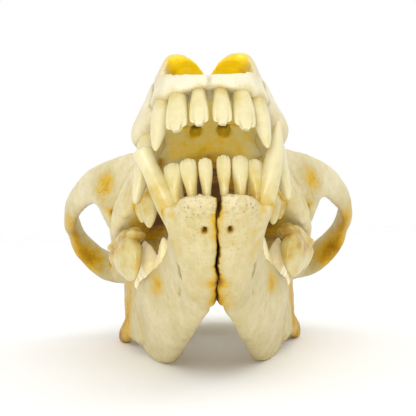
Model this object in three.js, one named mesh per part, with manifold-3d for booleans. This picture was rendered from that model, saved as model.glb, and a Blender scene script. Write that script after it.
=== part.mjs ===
// A grey wolf's skull with its lower jaw, life size, resting on a table with the muzzle raised.
// Millimetres, +Z up, muzzle towards -Y, origin on the table under the middle of the skull.
// Skull frame: X to the animal's left, Y backwards from the front of the upper incisor sockets,
// Z up from the plane of the upper tooth sockets. Jaw frame: the same, from the lower incisor sockets.
import * as THREE from "three";
import { mergeVertices } from "three/addons/utils/BufferGeometryUtils.js";
import Module from "manifold-3d";

const wasm = await Module();
wasm.setup();

// Driving dimensions
const SKULL_LENGTH = 258; // incisor sockets to the back of the nuchal crest
const CHEEK_HALF = 71.2; // half the breadth over the cheekbones
const BODY_FRONT = -3; // front of the bone under the incisor roots
const BODY_END = 246; // back of the braincase above the neck joint
const MUZZLE_RAISED = 24.85; // degrees that the upper tooth row is raised above the table
const GAPE = 3.7; // degrees that the jaw is open
const JAW_HINGE = new THREE.Vector3(0, 190, 3.5); // middle of the jaw joint, skull frame
const JAW_BACK = 8.4; // lower incisor sockets behind the upper ones, jaw closed
const JAW_DROP = 17.5; // lower sockets below the upper ones, jaw closed
const JAW_ASIDE = 1.4; // the front of the jaw sits this far to the animal's left
const JOIN_GAP = 0.3; // clear gap between bones that touch
const SYMPHYSIS_GAP = 0.8; // open seam between the jaw halves
const TABLE_Z = -101.9; // height of the table under the front of the upper incisor sockets

// Surface resolution
const BODY_RINGS = 28;
const BODY_SIDES = 24;
const JAW_RINGS = 18;
const JAW_SIDES = 12;

const point = (x, y, z) => new THREE.Vector3(x, y, z);

// A smooth value along a length: it passes through each [place, value] pair with no overshoot.
function through(pairs) {
  const last = pairs.length - 1;
  const slope = (i) => (pairs[i + 1][1] - pairs[i][1]) / (pairs[i + 1][0] - pairs[i][0]);
  const tangents = pairs.map((pair, i) => {
    if (i === 0) return slope(0);
    if (i === last) return slope(last - 1);
    const before = slope(i - 1);
    const after = slope(i);
    return before * after <= 0 ? 0 : (2 * before * after) / (before + after);
  });
  return (place) => {
    const s = THREE.MathUtils.clamp(place, pairs[0][0], pairs[last][0]);
    const i = Math.min(pairs.findLastIndex((pair) => pair[0] <= s), last - 1);
    const span = pairs[i + 1][0] - pairs[i][0];
    const t = (s - pairs[i][0]) / span;
    const rise = t * t * (3 - 2 * t);
    const lead = t * (1 - t) * (1 - t) * span * tangents[i];
    const tail = t * t * (t - 1) * span * tangents[i + 1];
    return pairs[i][1] + (pairs[i + 1][1] - pairs[i][1]) * rise + lead + tail;
  };
}

// A closed solid from rings of points: pointAt(u, v), with u from 0 to 1 along it and v round it.
function skin(rings, sides, pointAt) {
  const rows = Array.from({ length: rings + 1 }, (_, i) =>
    Array.from({ length: sides }, (_, j) => pointAt(i / rings, j / sides)),
  );
  const points = rows.flat();
  const triangles = [];
  for (let i = 0; i < rings; i++) {
    for (let j = 0; j < sides; j++) {
      const a = i * sides + j;
      const b = i * sides + ((j + 1) % sides);
      triangles.push(a, b, b + sides, a, b + sides, a + sides);
    }
  }
  for (const [row, first] of [[rows[0], 0], [rows[rings], rings * sides]]) {
    const middle = row.reduce((sum, p) => sum.add(p), point(0, 0, 0)).divideScalar(sides);
    const centre = points.push(middle) - 1;
    for (let j = 0; j < sides; j++) {
      const pair = [first + j, first + ((j + 1) % sides)];
      triangles.push(centre, ...(first ? pair : pair.reverse()));
    }
  }
  return solid(new THREE.BufferGeometry().setFromPoints(points).setIndex(triangles));
}

const asManifold = (vertProperties, triVerts) =>
  new wasm.Manifold(new wasm.Mesh({ numProp: 3, vertProperties, triVerts }));

// A closed geometry as a solid, with its faces turned outwards.
function solid(geometry) {
  const bare = geometry.clone();
  bare.deleteAttribute("normal");
  bare.deleteAttribute("uv");
  const merged = mergeVertices(bare, 1e-4);
  const triVerts = new Uint32Array(merged.index.array);
  const vertProperties = merged.attributes.position.array;
  const made = asManifold(vertProperties, triVerts);
  return made.volume() >= 0 ? made : asManifold(vertProperties, triVerts.reverse());
}

const join = (pieces) => wasm.Manifold.union(pieces);
const mirrored = (piece) => {
  const { vertProperties, triVerts } = piece.getMesh();
  const flipped = vertProperties.map((value, i) => (i % 3 === 0 ? -value : value));
  return asManifold(flipped, triVerts.reverse());
};
const bothSides = (piece) => join([piece, mirrored(piece)]);

// The largest closed surface of a solid: sealed hollows are filled and loose scraps dropped.
const largest = (made) => made.decompose().reduce((a, b) => (b.volume() > a.volume() ? b : a));

function ellipsoid(centre, radii, around = 10, tilt = [0, 0, 0]) {
  const ball = new THREE.SphereGeometry(1, around, around / 2);
  ball.scale(...radii).applyMatrix4(new THREE.Matrix4().makeRotationFromEuler(new THREE.Euler(...tilt)));
  return solid(ball.translate(...centre));
}

// cos and sin drawn towards a square as power grows past 2.
const squared = (value, power) => Math.sign(value) * Math.abs(value) ** (2 / power);

// A bar of oval section along a smooth path. wide(u) lies across the path, tall(u) along the up way.
function bar(path, wide, tall, { up = point(0, 0, 1), rings = 18, sides = 12, power = 2.4 } = {}) {
  const curve = new THREE.CatmullRomCurve3(path);
  return skin(rings, sides, (u, v) => {
    const along = curve.getTangent(u);
    const across = new THREE.Vector3().crossVectors(along, up).normalize();
    const rise = new THREE.Vector3().crossVectors(across, along);
    const turn = v * 2 * Math.PI;
    return curve
      .getPoint(u)
      .addScaledVector(across, wide(u) * squared(Math.cos(turn), power))
      .addScaledVector(rise, tall(u) * squared(Math.sin(turn), power));
  });
}

// Outline of the cranium without its crests and arches, each as a value along Y
const roofZ = through([
  [BODY_FRONT, 9], [4, 16.5], [12, 24.8], [18, 27.6], [34, 33], [60, 41.5], [85, 50], [102, 58], [118, 68],
  [134, 75], [155, 75], [185, 71], [210, 68], [235, 68], [BODY_END, 71],
]);
const palateZ = through([
  [BODY_FRONT, 4.5], [10, 4.5], [50, 5], [80, 3.5], [108, 1], [122, 5], [135, 19], [160, 22], [190, 18],
  [225, 15], [BODY_END, 15],
]);
const socketHalf = through([
  [BODY_FRONT, 9], [3, 15.5], [10, 19.5], [20, 24], [28, 27.4], [36, 26], [46, 23.8], [52, 24.4], [60, 26.5],
  [69, 30], [80, 36.5], [88, 40], [96, 41.8], [104, 42], [114, 39.5], [122, 30], [130, 14], [150, 11],
  [175, 15], [200, 17], [225, 20], [BODY_END, 21],
]);
const socketZ = through([
  [BODY_FRONT, 4], [4, 3.4], [12, 1.6], [26, 0], [45, -1], [60, -3], [69, -4.4], [80, -6], [90, -7.5],
  [104, -9], [118, -8], [126, 7], [135, 17], [160, 20], [190, 15], [225, 14], [BODY_END, 17],
]);
const wallHalf = through([
  [BODY_FRONT, 8], [3, 14.5], [12, 17.5], [28, 23], [40, 20.5], [60, 20.5], [75, 24.5], [90, 30], [103, 31],
  [115, 23], [130, 18], [150, 20.5], [170, 27], [190, 32], [205, 33.5], [222, 33], [238, 34], [BODY_END, 32],
]);
const wallZ = through([
  [BODY_FRONT, 6], [12, 16], [60, 22], [90, 27], [110, 33], [130, 42], [160, 44], [205, 40], [235, 36],
  [BODY_END, 36],
]);
const browHalf = through([
  [BODY_FRONT, 6], [4, 11], [12, 13.8], [18, 13.5], [30, 12.5], [60, 12.5], [85, 16], [102, 21], [118, 25.5],
  [133, 31], [143, 24], [152, 18.5], [170, 20], [190, 24], [210, 24], [235, 20], [BODY_END, 17],
]);
const browZ = through([
  [BODY_FRONT, 8], [12, 26.5], [18, 29.7], [30, 33.5], [60, 40], [85, 47], [102, 55], [118, 63.5], [133, 67],
  [150, 66], [170, 62], [205, 58], [235, 57], [BODY_END, 60],
]);
const occiputLean = through([[190, 0], [225, 0.06], [BODY_END, 0.17]]); // the back of the head overhangs
const LEAN_LEVEL = 25; // height at which the leaning rings keep their place

// One ring of the cranium: a closed curve through palate, sockets, wall, brow and roof on both sides.
function craniumRing(y) {
  const right = [[socketHalf(y), socketZ(y)], [wallHalf(y), wallZ(y)], [browHalf(y), browZ(y)]];
  const left = right.map(([x, z]) => [-x, z]).reverse();
  const outline = [[0, palateZ(y)], ...right, [0, roofZ(y)], ...left];
  const leaning = outline.map(([x, z]) => point(x, y + occiputLean(y) * (z - LEAN_LEVEL), z));
  return new THREE.CatmullRomCurve3(leaning, true, "catmullrom", 0.5);
}

const bodyRings = Array.from({ length: BODY_RINGS + 1 }, (_, i) =>
  craniumRing(THREE.MathUtils.lerp(BODY_FRONT, BODY_END, i / BODY_RINGS)),
);
const bodyShell = skin(BODY_RINGS, BODY_SIDES, (u, v) => bodyRings[Math.round(u * BODY_RINGS)].getPoint(v));

// Openings of the muzzle: slanted nose opening, air passage, notch between the nasal bones, palate slits
const NOSE_FRONT = -12; // the passage starts in the open, in front of the bone
const NOSE_END = 62;
const noseFloorZ = through([[NOSE_FRONT, 8.6], [5, 9], [30, 11], [NOSE_END, 20]]);
const noseRoofZ = through([[NOSE_FRONT, 40], [12, 24], [18, 27.2], [30, 31], [NOSE_END, 36]]);
const noseHalf = through([[NOSE_FRONT, 16], [8, 15.6], [30, 12], [NOSE_END, 6]]);
const FLOOR_ROUND = 2;
const ROOF_SQUARE = 3.2;
const airPassage = skin(8, 14, (u, v) => {
  const y = THREE.MathUtils.lerp(NOSE_FRONT, NOSE_END, u);
  const middle = (noseFloorZ(y) + noseRoofZ(y)) / 2;
  const tall = (noseRoofZ(y) - noseFloorZ(y)) / 2;
  const turn = v * 2 * Math.PI;
  const rise = squared(Math.sin(turn), Math.sin(turn) > 0 ? ROOF_SQUARE : FLOOR_ROUND);
  return point(noseHalf(y) * squared(Math.cos(turn), 2.5), y, middle + tall * rise);
});
const NOSE_LIP = [0, 1.5, 10.5]; // upper front edge of the bone that holds the incisors
const NOSE_SLANT = 0.59; // radians that the nose opening leans back
const slantBox = new THREE.BoxGeometry(60, 40, 60).translate(0, -20, 30);
const noseSlant = solid(slantBox.rotateX(-NOSE_SLANT).translate(...NOSE_LIP));
const notchShape = new THREE.Shape();
notchShape.moveTo(-11, 10);
notchShape.quadraticCurveTo(-2.6, 18.5, 0, 41);
notchShape.quadraticCurveTo(2.6, 18.5, 11, 10);
const notchCut = new THREE.ExtrudeGeometry(notchShape, { depth: 24, bevelEnabled: false, curveSegments: 5 });
const nasalNotch = solid(notchCut.translate(0, 0, 22));
const palateSlits = bothSides(ellipsoid([5, 29.5, 3], [2.8, 6, 7], 12));
const infraorbitalHoles = bothSides(ellipsoid([29, 73, 21], [2.6, 9, 4.5], 12, [0, 0, -0.35]));
const orbits = bothSides(ellipsoid([42, 119, 48], [21, 17, 17], 16, [0, 0, 0.3]));
const choanae = ellipsoid([0, 138, 15], [9, 22, 10], 12);
const nerveHole = ellipsoid([0, 262, 33], [10, 30, 9], 12);
const earHoles = bothSides(ellipsoid([36, 204, 21], [9, 3, 3], 10));

// Crests, ear capsules, condyles and processes of the cranium
const CREST_FRONT = 138;
const CREST_FOOT = 48; // the crest's plate starts inside the braincase
const CREST_HALF_THICK = 4.5;
const crestTopZ = through([[CREST_FRONT, 74], [165, 79], [200, 81.5], [235, 80], [SKULL_LENGTH, 73]]);
const sagittalCrest = skin(9, 8, (u, v) => {
  const y = THREE.MathUtils.lerp(CREST_FRONT, SKULL_LENGTH - 1, u);
  const tall = (crestTopZ(y) - CREST_FOOT) / 2;
  const turn = v * 2 * Math.PI;
  return point(CREST_HALF_THICK * Math.cos(turn), y, CREST_FOOT + tall + tall * squared(Math.sin(turn), 2.6));
});
const nuchalSide = [point(36, 231, 22), point(33, 243, 40), point(20, 250, 60)];
const nuchalPath = [
  ...nuchalSide,
  point(0, SKULL_LENGTH - 4, 71),
  ...nuchalSide.map((p) => point(-p.x, p.y, p.z)).reverse(),
];
const UP_BACK = point(0, 1, 0);
const nuchalCrest = bar(nuchalPath, () => 5, () => 4, { up: UP_BACK, rings: 14, sides: 6 });
const condyles = bothSides(ellipsoid([13.5, 246, 22], [8.5, 9.5, 10], 10));
const earCapsules = bothSides(ellipsoid([19.5, 203, 13.5], [11, 15.5, 12]));
const mastoids = bothSides(ellipsoid([33, 222, 27], [8, 10, 13], 10));
const neckSpurPath = [point(26, 226, 24), point(28, 229, 10), point(28.5, 231, -1)];
const neckSpur = bar(neckSpurPath, (u) => 6 - 4 * u, (u) => 5 - 3 * u, { up: UP_BACK, rings: 5, sides: 8 });
const throatPlatePath = [point(11.5, 112, 16.5), point(11.5, 139, 17.5), point(11.5, 166, 18)];
const throatPlate = bar(throatPlatePath, () => 1.6, (u) => 9.5 - 1.5 * u, { rings: 6, sides: 8, power: 3 });

// Cheekbone arch, from inside the muzzle round to the root above the jaw joint
const cheekPath = [
  point(26, 96, 18),
  point(40, 105, 22.5),
  point(53, 118, 28.4),
  point(62.5, 133, 28),
  point(CHEEK_HALF - 3.5, 150, 28.5),
  point(CHEEK_HALF - 2.5, 168, 30.5),
  point(CHEEK_HALF - 5.7, 182, 25.5),
  point(54, 195, 19.5),
  point(36, 201, 20.5),
  point(24, 204, 27),
];
const cheekThick = through([[0, 9], [0.25, 4.2], [0.5, 3], [0.7, 3.4], [0.82, 5], [1, 8]]);
const cheekTall = through([
  [0, 15], [0.11, 13], [0.22, 8.4], [0.33, 7], [0.44, 7.8], [0.56, 7], [0.78, 8], [1, 10],
]);
const cheekArch = bar(cheekPath, cheekThick, cheekTall, { rings: 20, sides: 8, power: 2.6 });
const cheekRootPath = [point(48, 115, 21), point(42.8, 110, 8), point(37, 106, -3)];
const cheekRoot = bar(cheekRootPath, () => 4, (u) => 4.6 - u, { up: UP_BACK, rings: 5, sides: 8 });
const spurX = CHEEK_HALF - 5;
const cheekSpurPath = [point(spurX, 144, 29), point(spurX, 147, 34), point(spurX - 0.5, 150, 38.5)];
const cheekSpur = bar(cheekSpurPath, (u) => 2.8 - u, (u) => 7 - 5 * u, { up: UP_BACK, rings: 4, sides: 8 });
const jointShelf = ellipsoid([37, 194, 15], [15, 10, 7], 12);
const jointStop = ellipsoid([33, 200, 7], [9, 2.6, 9], 10);
const jawJointPath = [18, 34, 52].map((x) => point(x, JAW_HINGE.y, JAW_HINGE.z));
const JOINT_GROOVE = 5.2; // radius of the groove that the jaw turns in
const jawJoint = bar(jawJointPath, () => JOINT_GROOVE, () => JOINT_GROOVE, { rings: 4, sides: 14, power: 2 });

// Teeth. A cusp is an oval cone from its root, sunk in the bone, to its tip.
function cusp(root, tip, long, wide, { blunt = 0.12, rings = 3, sides = 6, turn = 0 } = {}) {
  const axis = new THREE.Vector3().subVectors(tip, root);
  const swing = new THREE.Vector3(0, Math.cos(turn), 0).setX(Math.sin(turn));
  const aside = new THREE.Vector3(Math.cos(turn), -Math.sin(turn), 0);
  return skin(rings, sides, (u, v) => {
    const taper = blunt + (1 - blunt) * Math.sqrt(1 - u ** 2.2);
    const round = v * 2 * Math.PI;
    return root
      .clone()
      .addScaledVector(axis, u)
      .addScaledVector(swing, (long / 2) * taper * Math.cos(round))
      .addScaledVector(aside, (wide / 2) * taper * Math.sin(round));
  });
}

const ROOT_SHARE = 0.6; // an incisor's root is this long for a crown of 1
const ROOT_BACK = 5; // and bends back by this

// An incisor: a narrow neck, a wider crown and a thin edge. facing is the turn of its row, in radians.
function incisor(neck, tip, wide, thick, facing) {
  const root = neck.clone().addScaledVector(new THREE.Vector3().subVectors(neck, tip), ROOT_SHARE);
  root.y += ROOT_BACK;
  const widths = through([[0, 0.6], [0.37, 0.62], [0.75, 1], [1, 0.72]]);
  const depths = through([[0, 0.9], [0.37, 1], [0.75, 0.7], [1, 0.14]]);
  const row = point(Math.cos(facing), Math.sin(facing), 0);
  const front = point(-Math.sin(facing), Math.cos(facing), 0);
  return skin(4, 6, (u, v) => {
    const round = v * 2 * Math.PI;
    return new THREE.Vector3()
      .lerpVectors(root, tip, u)
      .addScaledVector(row, (wide / 2) * widths(u) * squared(Math.cos(round), 2.6))
      .addScaledVector(front, (thick / 2) * depths(u) * squared(Math.sin(round), 2.6));
  });
}

// A canine: a curved oval cone along a path from inside the socket to the tip.
const canineTaper = through([[0, 0.8], [0.4, 1], [0.75, 0.66], [1, 0.1]]);
const canine = (path, long, wide) =>
  bar(path, (u) => (wide / 2) * canineTaper(u), (u) => (long / 2) * canineTaper(u), {
    up: point(0, -1, 0),
    rings: 8,
    sides: 8,
    power: 2,
  });

// A cheek tooth: cusps at [back, outwards, height, length, width] from the middle of its crown.
// The row runs back at turn, and the crown leans inwards by lean for a height of 1.
const ROOT_SUNK = 5;
function cheekTooth(middle, cusps, way, turn, lean = 0) {
  const back = point(Math.sin(turn), Math.cos(turn), 0);
  const out = point(Math.cos(turn), -Math.sin(turn), 0);
  return join(
    cusps.map(([along, aside, height, long, wide]) => {
      const foot = middle.clone().addScaledVector(back, along).addScaledVector(out, aside);
      const tip = foot.clone().addScaledVector(out, -lean * height);
      tip.z += way * height;
      return cusp(foot.setZ(foot.z - way * ROOT_SUNK), tip, long, wide, { turn });
    }),
  );
}

const upperIncisors = [
  incisor(point(3.7, 1.4, 3.2), point(3.9, -2.6, -11.4), 6.6, 6, 0.05),
  incisor(point(10.3, 3.4, 3), point(11.5, -0.8, -12.5), 7.8, 6.6, 0.35),
  incisor(point(15.8, 7.4, 2.5), point(18.6, 3.4, -17), 7.6, 6.6, 0.8),
];
const upperCanine = canine(
  [point(18.5, 42, 15), point(20.5, 31, 4), point(23.4, 26.5, -9), point(27, 28, -24.5)],
  14.5,
  9.5,
);

// The upper row from front to back: inset from the socket's edge, and drop of the crown below the bone
const upperRow = [
  { y: 43.5, inset: 3.6, drop: 0, turn: 0.05, lean: 0, cusps: [[0, 0, 6, 7, 5]] },
  { y: 53, inset: 3.4, drop: 0.5, turn: 0.25, lean: 0, cusps: [[-1, 0, 9.5, 9.5, 5.4], [3.5, 0, 5, 7, 5]] },
  { y: 66.5, inset: 3.8, drop: 1, turn: 0.5, lean: 0.05, cusps: [[-1.5, 0, 12, 11, 6.6], [4.5, 0, 7, 8, 6]] },
  {
    y: 88.5,
    inset: 4.4,
    drop: 4,
    turn: 0.42,
    lean: 0.16,
    cusps: [[-4, 0, 19, 15, 9], [7.5, 0.4, 13, 13, 8], [-7, -7, 6, 7.5, 8]],
  },
  {
    y: 106,
    inset: 6,
    drop: 1,
    turn: 0.05,
    lean: 0,
    cusps: [[-3.6, 1, 10, 8.5, 8], [4, 0.4, 9, 8, 8], [0, -8.5, 5.5, 11, 10], [1.5, -13.5, 3.5, 10, 7]],
  },
  {
    y: 118,
    inset: 8.5,
    drop: 0.5,
    turn: -0.25,
    lean: 0,
    cusps: [[-1.6, 2, 5, 5, 6], [2, 1.6, 4.4, 5, 6], [0, -4, 3.5, 7, 8]],
  },
];
const upperCheekTeeth = upperRow.map(({ y, inset, drop, turn, lean, cusps }) =>
  cheekTooth(point(socketHalf(y) - inset, y, socketZ(y) - drop), cusps, -1, turn, lean),
);
const upperTeeth = bothSides(join([...upperIncisors, upperCanine, ...upperCheekTeeth]));

// The cranium whole, then parted with thin cuts
const shellPieces = [
  bodyShell.subtract(orbits),
  sagittalCrest,
  nuchalCrest,
  condyles,
  earCapsules,
  mastoids,
  bothSides(join([neckSpur, throatPlate, cheekArch, cheekRoot, cheekSpur, jointShelf, jointStop])),
];
const openings = [
  airPassage,
  noseSlant,
  nasalNotch,
  palateSlits,
  infraorbitalHoles,
  choanae,
  nerveHole,
  earHoles,
  bothSides(jawJoint),
];
const bone = largest(join(shellPieces).subtract(join(openings)));
const cranium = largest(join([bone, upperTeeth]));

const half = JOIN_GAP / 2;
const CHEEK_CUT = 45; // the arches are parted here, outside the tooth rows
// The muzzle ends at a plane from the root of the nose to the end of the palate
const partPlane = point(0, 57, 20).normalize();
const partPlace = partPlane.dot(point(0, 126, 0));
const middlePart = cranium.trimByPlane([-1, 0, 0], half - CHEEK_CUT).trimByPlane([1, 0, 0], half - CHEEK_CUT);
const muzzle = middlePart.trimByPlane(partPlane.clone().negate().toArray(), half - partPlace);
const braincase = middlePart.trimByPlane(partPlane.toArray(), partPlace + half);
const cheekLeft = cranium.trimByPlane([1, 0, 0], CHEEK_CUT + half);
const cheekRight = cranium.trimByPlane([-1, 0, 0], CHEEK_CUT + half);

// Lower jaw, left half, in the jaw frame
const JAW_FRONT = -2;
const JAW_END = 140;
const jawTopX = through([
  [JAW_FRONT, 5.6], [5, 7.8], [12, 9.6], [22, 11], [34, 13.2], [46, 15], [56, 17], [68, 20.4], [80, 25],
  [90, 28.2], [100, 29.6], [120, 31.4], [JAW_END, 34],
]);
const jawTopZ = through([
  [JAW_FRONT, -2], [5, 0], [12, 1], [34, -1], [60, -3], [80, -3], [90, -2.2], [104, -1.6], [120, 1.5],
  [JAW_END, 8],
]);
const jawFootX = through([
  [JAW_FRONT, 4], [12, 4.8], [34, 5.2], [48, 5.2], [55, 7], [62, 9], [80, 13.5], [105, 18.8], [125, 25.3],
  [JAW_END, 29.5],
]);
const jawFootZ = through([
  [JAW_FRONT, -6], [5, -10], [12, -15], [22, -20.5], [34, -25], [46, -28], [60, -30.5], [80, -33],
  [103, -34.5], [115, -32.5], [125, -28.5], [JAW_END, -20.5],
]);
const jawHalfThick = through([
  [JAW_FRONT, 5.4], [5, 7.8], [12, 8.1], [22, 7.5], [34, 6.5], [46, 5.4], [60, 5.2], [72, 5.6], [82, 6.2],
  [92, 6], [104, 5.2], [120, 4.4], [JAW_END, 4],
]);
const JAW_SQUARE = 2.6;
const jawBody = skin(JAW_RINGS, JAW_SIDES, (u, v) => {
  const y = THREE.MathUtils.lerp(JAW_FRONT, JAW_END, u);
  const turn = v * 2 * Math.PI;
  const rise = (1 + squared(Math.sin(turn), JAW_SQUARE)) / 2;
  const x = THREE.MathUtils.lerp(jawFootX(y), jawTopX(y), rise);
  const z = THREE.MathUtils.lerp(jawFootZ(y), jawTopZ(y), rise);
  return point(x + jawHalfThick(y) * squared(Math.cos(turn), JAW_SQUARE), y, z);
});

// The rising branch: a thin plate whose front and back edges are values of its height
const BRANCH_FOOT = -20;
const BRANCH_TOP = 54;
const branchFrontY = through([
  [BRANCH_FOOT, 118], [-10, 113], [5, 124], [15, 133], [30, 143], [45, 152], [BRANCH_TOP, 160],
]);
const branchBackY = through([
  [BRANCH_FOOT, 131], [-14, 148], [-9, 163], [-4, 173], [10, 178], [20, 180], [27, 177], [35, 174], [45, 173],
  [BRANCH_TOP, 167],
]);
const branchHalfThick = through([[BRANCH_FOOT, 2.8], [-10, 3.8], [10, 3.4], [30, 2.4], [BRANCH_TOP, 1.4]]);
const branchX = (y, z) => 31.2 + 0.185 * (y - 125) + 0.03 * z;
const BRANCH_SQUARE = 2.8;
const jawBranch = skin(11, 10, (u, v) => {
  const z = THREE.MathUtils.lerp(BRANCH_FOOT, BRANCH_TOP, u);
  const turn = v * 2 * Math.PI;
  const back = (1 + squared(Math.cos(turn), BRANCH_SQUARE)) / 2;
  const y = THREE.MathUtils.lerp(branchFrontY(z), branchBackY(z), back);
  return point(branchX(y, z) + branchHalfThick(z) * squared(Math.sin(turn), BRANCH_SQUARE), y, z);
});
const hingeInJaw = JAW_HINGE.clone().sub(point(0, JAW_BACK, -JAW_DROP));
const jawHeadPath = [23, 33, 43].map((x) => point(x, hingeInJaw.y, hingeInJaw.z));
const headRadius = (u) => 2.5 + 2.2 * Math.sqrt(Math.sin(Math.PI * u));
const jawHead = bar(jawHeadPath, headRadius, headRadius, { rings: 6, sides: 8, power: 2 });
const jawNeckPath = [point(39, 168, 6), point(38, 176, 14), point(36, hingeInJaw.y, hingeInJaw.z - 1)];
const jawNeck = bar(jawNeckPath, () => 4, (u) => 9 - 5 * u, { rings: 5, sides: 10 });
const jawAngle = bar(
  [point(36.5, 150, -4.5), point(40, 166, -3.8), point(43, 178, -3.3), point(44.4, 185, -2.6)],
  (u) => 4 - 1.6 * u,
  (u) => 6 - 3.2 * u * u,
  { rings: 6, sides: 8 },
);
const chewingHollow = ellipsoid([47.5, 156, 12], [9, 19, 24], 14, [-0.35, 0, -0.14]);

const lowerIncisors = [
  incisor(point(2.9, 1.6, -1), point(3, -1.6, 12), 4.6, 5.2, 0.05),
  incisor(point(8.3, 2.6, -0.5), point(8.4, -0.2, 12.5), 5.4, 5.6, 0.2),
  incisor(point(13, 4.8, 0), point(13.9, 2.2, 12), 6.2, 6, 0.5),
];
const canineRoot = [point(8.5, 28, -13), point(14.6, 13, -3)];
const lowerCanine = canine([...canineRoot, point(19.6, 5, 12), point(22.4, 5.4, 28)], 12.5, 8.5);
const wornCanine = canine([...canineRoot, point(21.2, 6.4, 9), point(25.4, 5, 18.5)], 12.5, 9);
const lowerRow = [
  { y: 29, turn: 0.1, cusps: [[0, 0, 5, 5, 4]] },
  { y: 39, turn: 0.15, cusps: [[-1, 0, 8.5, 8, 5], [3, 0, 4.5, 6, 4.6]] },
  { y: 52.5, turn: 0.25, cusps: [[-1, 0, 9.5, 9, 5.4], [4, 0, 5, 7, 5]] },
  { y: 68, turn: 0.3, cusps: [[-1.5, 0, 11, 10, 6], [4.5, 0, 6.5, 7, 5.8]] },
  {
    y: 89,
    turn: 0.2,
    cusps: [[-7.5, 0.4, 13, 12, 8.5], [0.5, 0.4, 17, 13, 9], [9, 0.6, 6.5, 9, 8], [9, -2, 5, 8, 5]],
  },
  { y: 110, turn: 0.14, cusps: [[-2.4, 0, 5.5, 6.5, 7.5], [2.6, 0, 4.2, 6, 7]] },
  { y: 120, turn: 0.1, cusps: [[0, 0, 3.5, 5, 4.8]] },
];
const lowerCheekTeeth = lowerRow.map(({ y, turn, cusps }) =>
  cheekTooth(point(jawTopX(y), y, jawTopZ(y)), cusps, 1, turn),
);

// A jaw half with its teeth, ending in front at the open seam. The right canine is worn to a stump.
const jawBone = join([jawBody, jawBranch, jawNeck, jawHead, jawAngle]).subtract(chewingHollow);
const jawHalf = (fang) =>
  largest(
    join([jawBone, ...lowerIncisors, fang, ...lowerCheekTeeth]).trimByPlane([1, 0, 0], SYMPHYSIS_GAP / 2),
  );

// The scene: the skull raised by its muzzle, the jaw hung in its joint and slightly open
const wolfSkull = new THREE.Group();
const raised = new THREE.Group();
raised.rotation.x = -THREE.MathUtils.degToRad(MUZZLE_RAISED);
const jaw = new THREE.Group();
jaw.position.copy(JAW_HINGE).setX(-JAW_ASIDE / 2);
const SWING = 1.5; // the jaw's front moves aside by this for a joint shift of 0.5
jaw.rotation.set(THREE.MathUtils.degToRad(GAPE), 0, (SWING * JAW_ASIDE) / hingeInJaw.y);

function meshOf(made, name) {
  const { vertProperties, triVerts } = made.getMesh();
  const geometry = new THREE.BufferGeometry();
  geometry.setAttribute("position", new THREE.BufferAttribute(vertProperties, 3)).setIndex([...triVerts]);
  geometry.computeVertexNormals();
  const ivory = new THREE.MeshStandardMaterial({ color: 0xe8dcb6, roughness: 0.55, metalness: 0 });
  const mesh = new THREE.Mesh(geometry, ivory);
  mesh.name = name;
  return mesh;
}

// A jaw half hung in the joint, with its lowest points worn to flats at the height of the table.
function hung(made, name, tableZ) {
  const place = new THREE.Object3D();
  place.position.copy(hingeInJaw).negate();
  jaw.add(place);
  wolfSkull.updateMatrixWorld(true);
  const [, , upX, , , , upY, , , , upZ, , , , lift] = place.matrixWorld.elements;
  jaw.remove(place);
  const mesh = meshOf(largest(made.trimByPlane([upX, upY, upZ], tableZ - lift)), name);
  mesh.position.copy(place.position);
  return mesh;
}

wolfSkull.add(raised);
raised.add(
  meshOf(largest(muzzle), "muzzle"),
  meshOf(largest(braincase), "braincase"),
  meshOf(largest(cheekLeft), "cheekbone_left"),
  meshOf(largest(cheekRight), "cheekbone_right"),
  jaw,
);
jaw.add(
  hung(jawHalf(lowerCanine), "jaw_left", TABLE_Z),
  hung(mirrored(jawHalf(wornCanine)), "jaw_right", TABLE_Z),
);

// Set the skull down: its flats are on the table, its middle over the origin
wolfSkull.updateMatrixWorld(true);
const middle = new THREE.Box3().setFromObject(wolfSkull, true).getCenter(point(0, 0, 0));
raised.position.set(-middle.x, -middle.y, -TABLE_Z);

export default wolfSkull;
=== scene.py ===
# %% [markdown]
# # A wolf's skull on a table
# The real thing is dry, ivory-coloured bone: a cranium in one piece, two jaw halves that meet in an open
# seam at the chin, and full rows of teeth. It rests on the lower edge of the jaw with the muzzle raised,
# and is seen from low in front. The pieces are worked out in the skull's own directions, in millimetres,
# because its sizes are easiest to name there, and are turned onto the table at the end.

import math

import bpy
import numpy as np
from mathutils import Euler, Matrix, Vector


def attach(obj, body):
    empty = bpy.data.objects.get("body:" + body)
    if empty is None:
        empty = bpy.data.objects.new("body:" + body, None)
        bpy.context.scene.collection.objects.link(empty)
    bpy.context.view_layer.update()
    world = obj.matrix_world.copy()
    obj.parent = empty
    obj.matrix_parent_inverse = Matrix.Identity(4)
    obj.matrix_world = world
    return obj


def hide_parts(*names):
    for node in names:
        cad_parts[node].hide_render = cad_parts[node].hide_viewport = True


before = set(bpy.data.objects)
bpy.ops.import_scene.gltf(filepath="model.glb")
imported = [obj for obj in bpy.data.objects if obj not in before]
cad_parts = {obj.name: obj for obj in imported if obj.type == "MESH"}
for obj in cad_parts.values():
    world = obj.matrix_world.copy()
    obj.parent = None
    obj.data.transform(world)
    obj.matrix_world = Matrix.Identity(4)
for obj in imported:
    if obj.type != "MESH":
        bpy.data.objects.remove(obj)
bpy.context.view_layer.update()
MM = 0.001

# %% [markdown]
# ## Directions
# In the skull frame X points to the animal's left, Y backwards from the front of the upper incisor sockets
# and Z up from the plane of the upper sockets. The jaw has the same directions from its own incisor
# sockets, and turns about the line through the two jaw joints. One function carries skull points to the
# table, and another carries jaw points to the skull.

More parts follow.
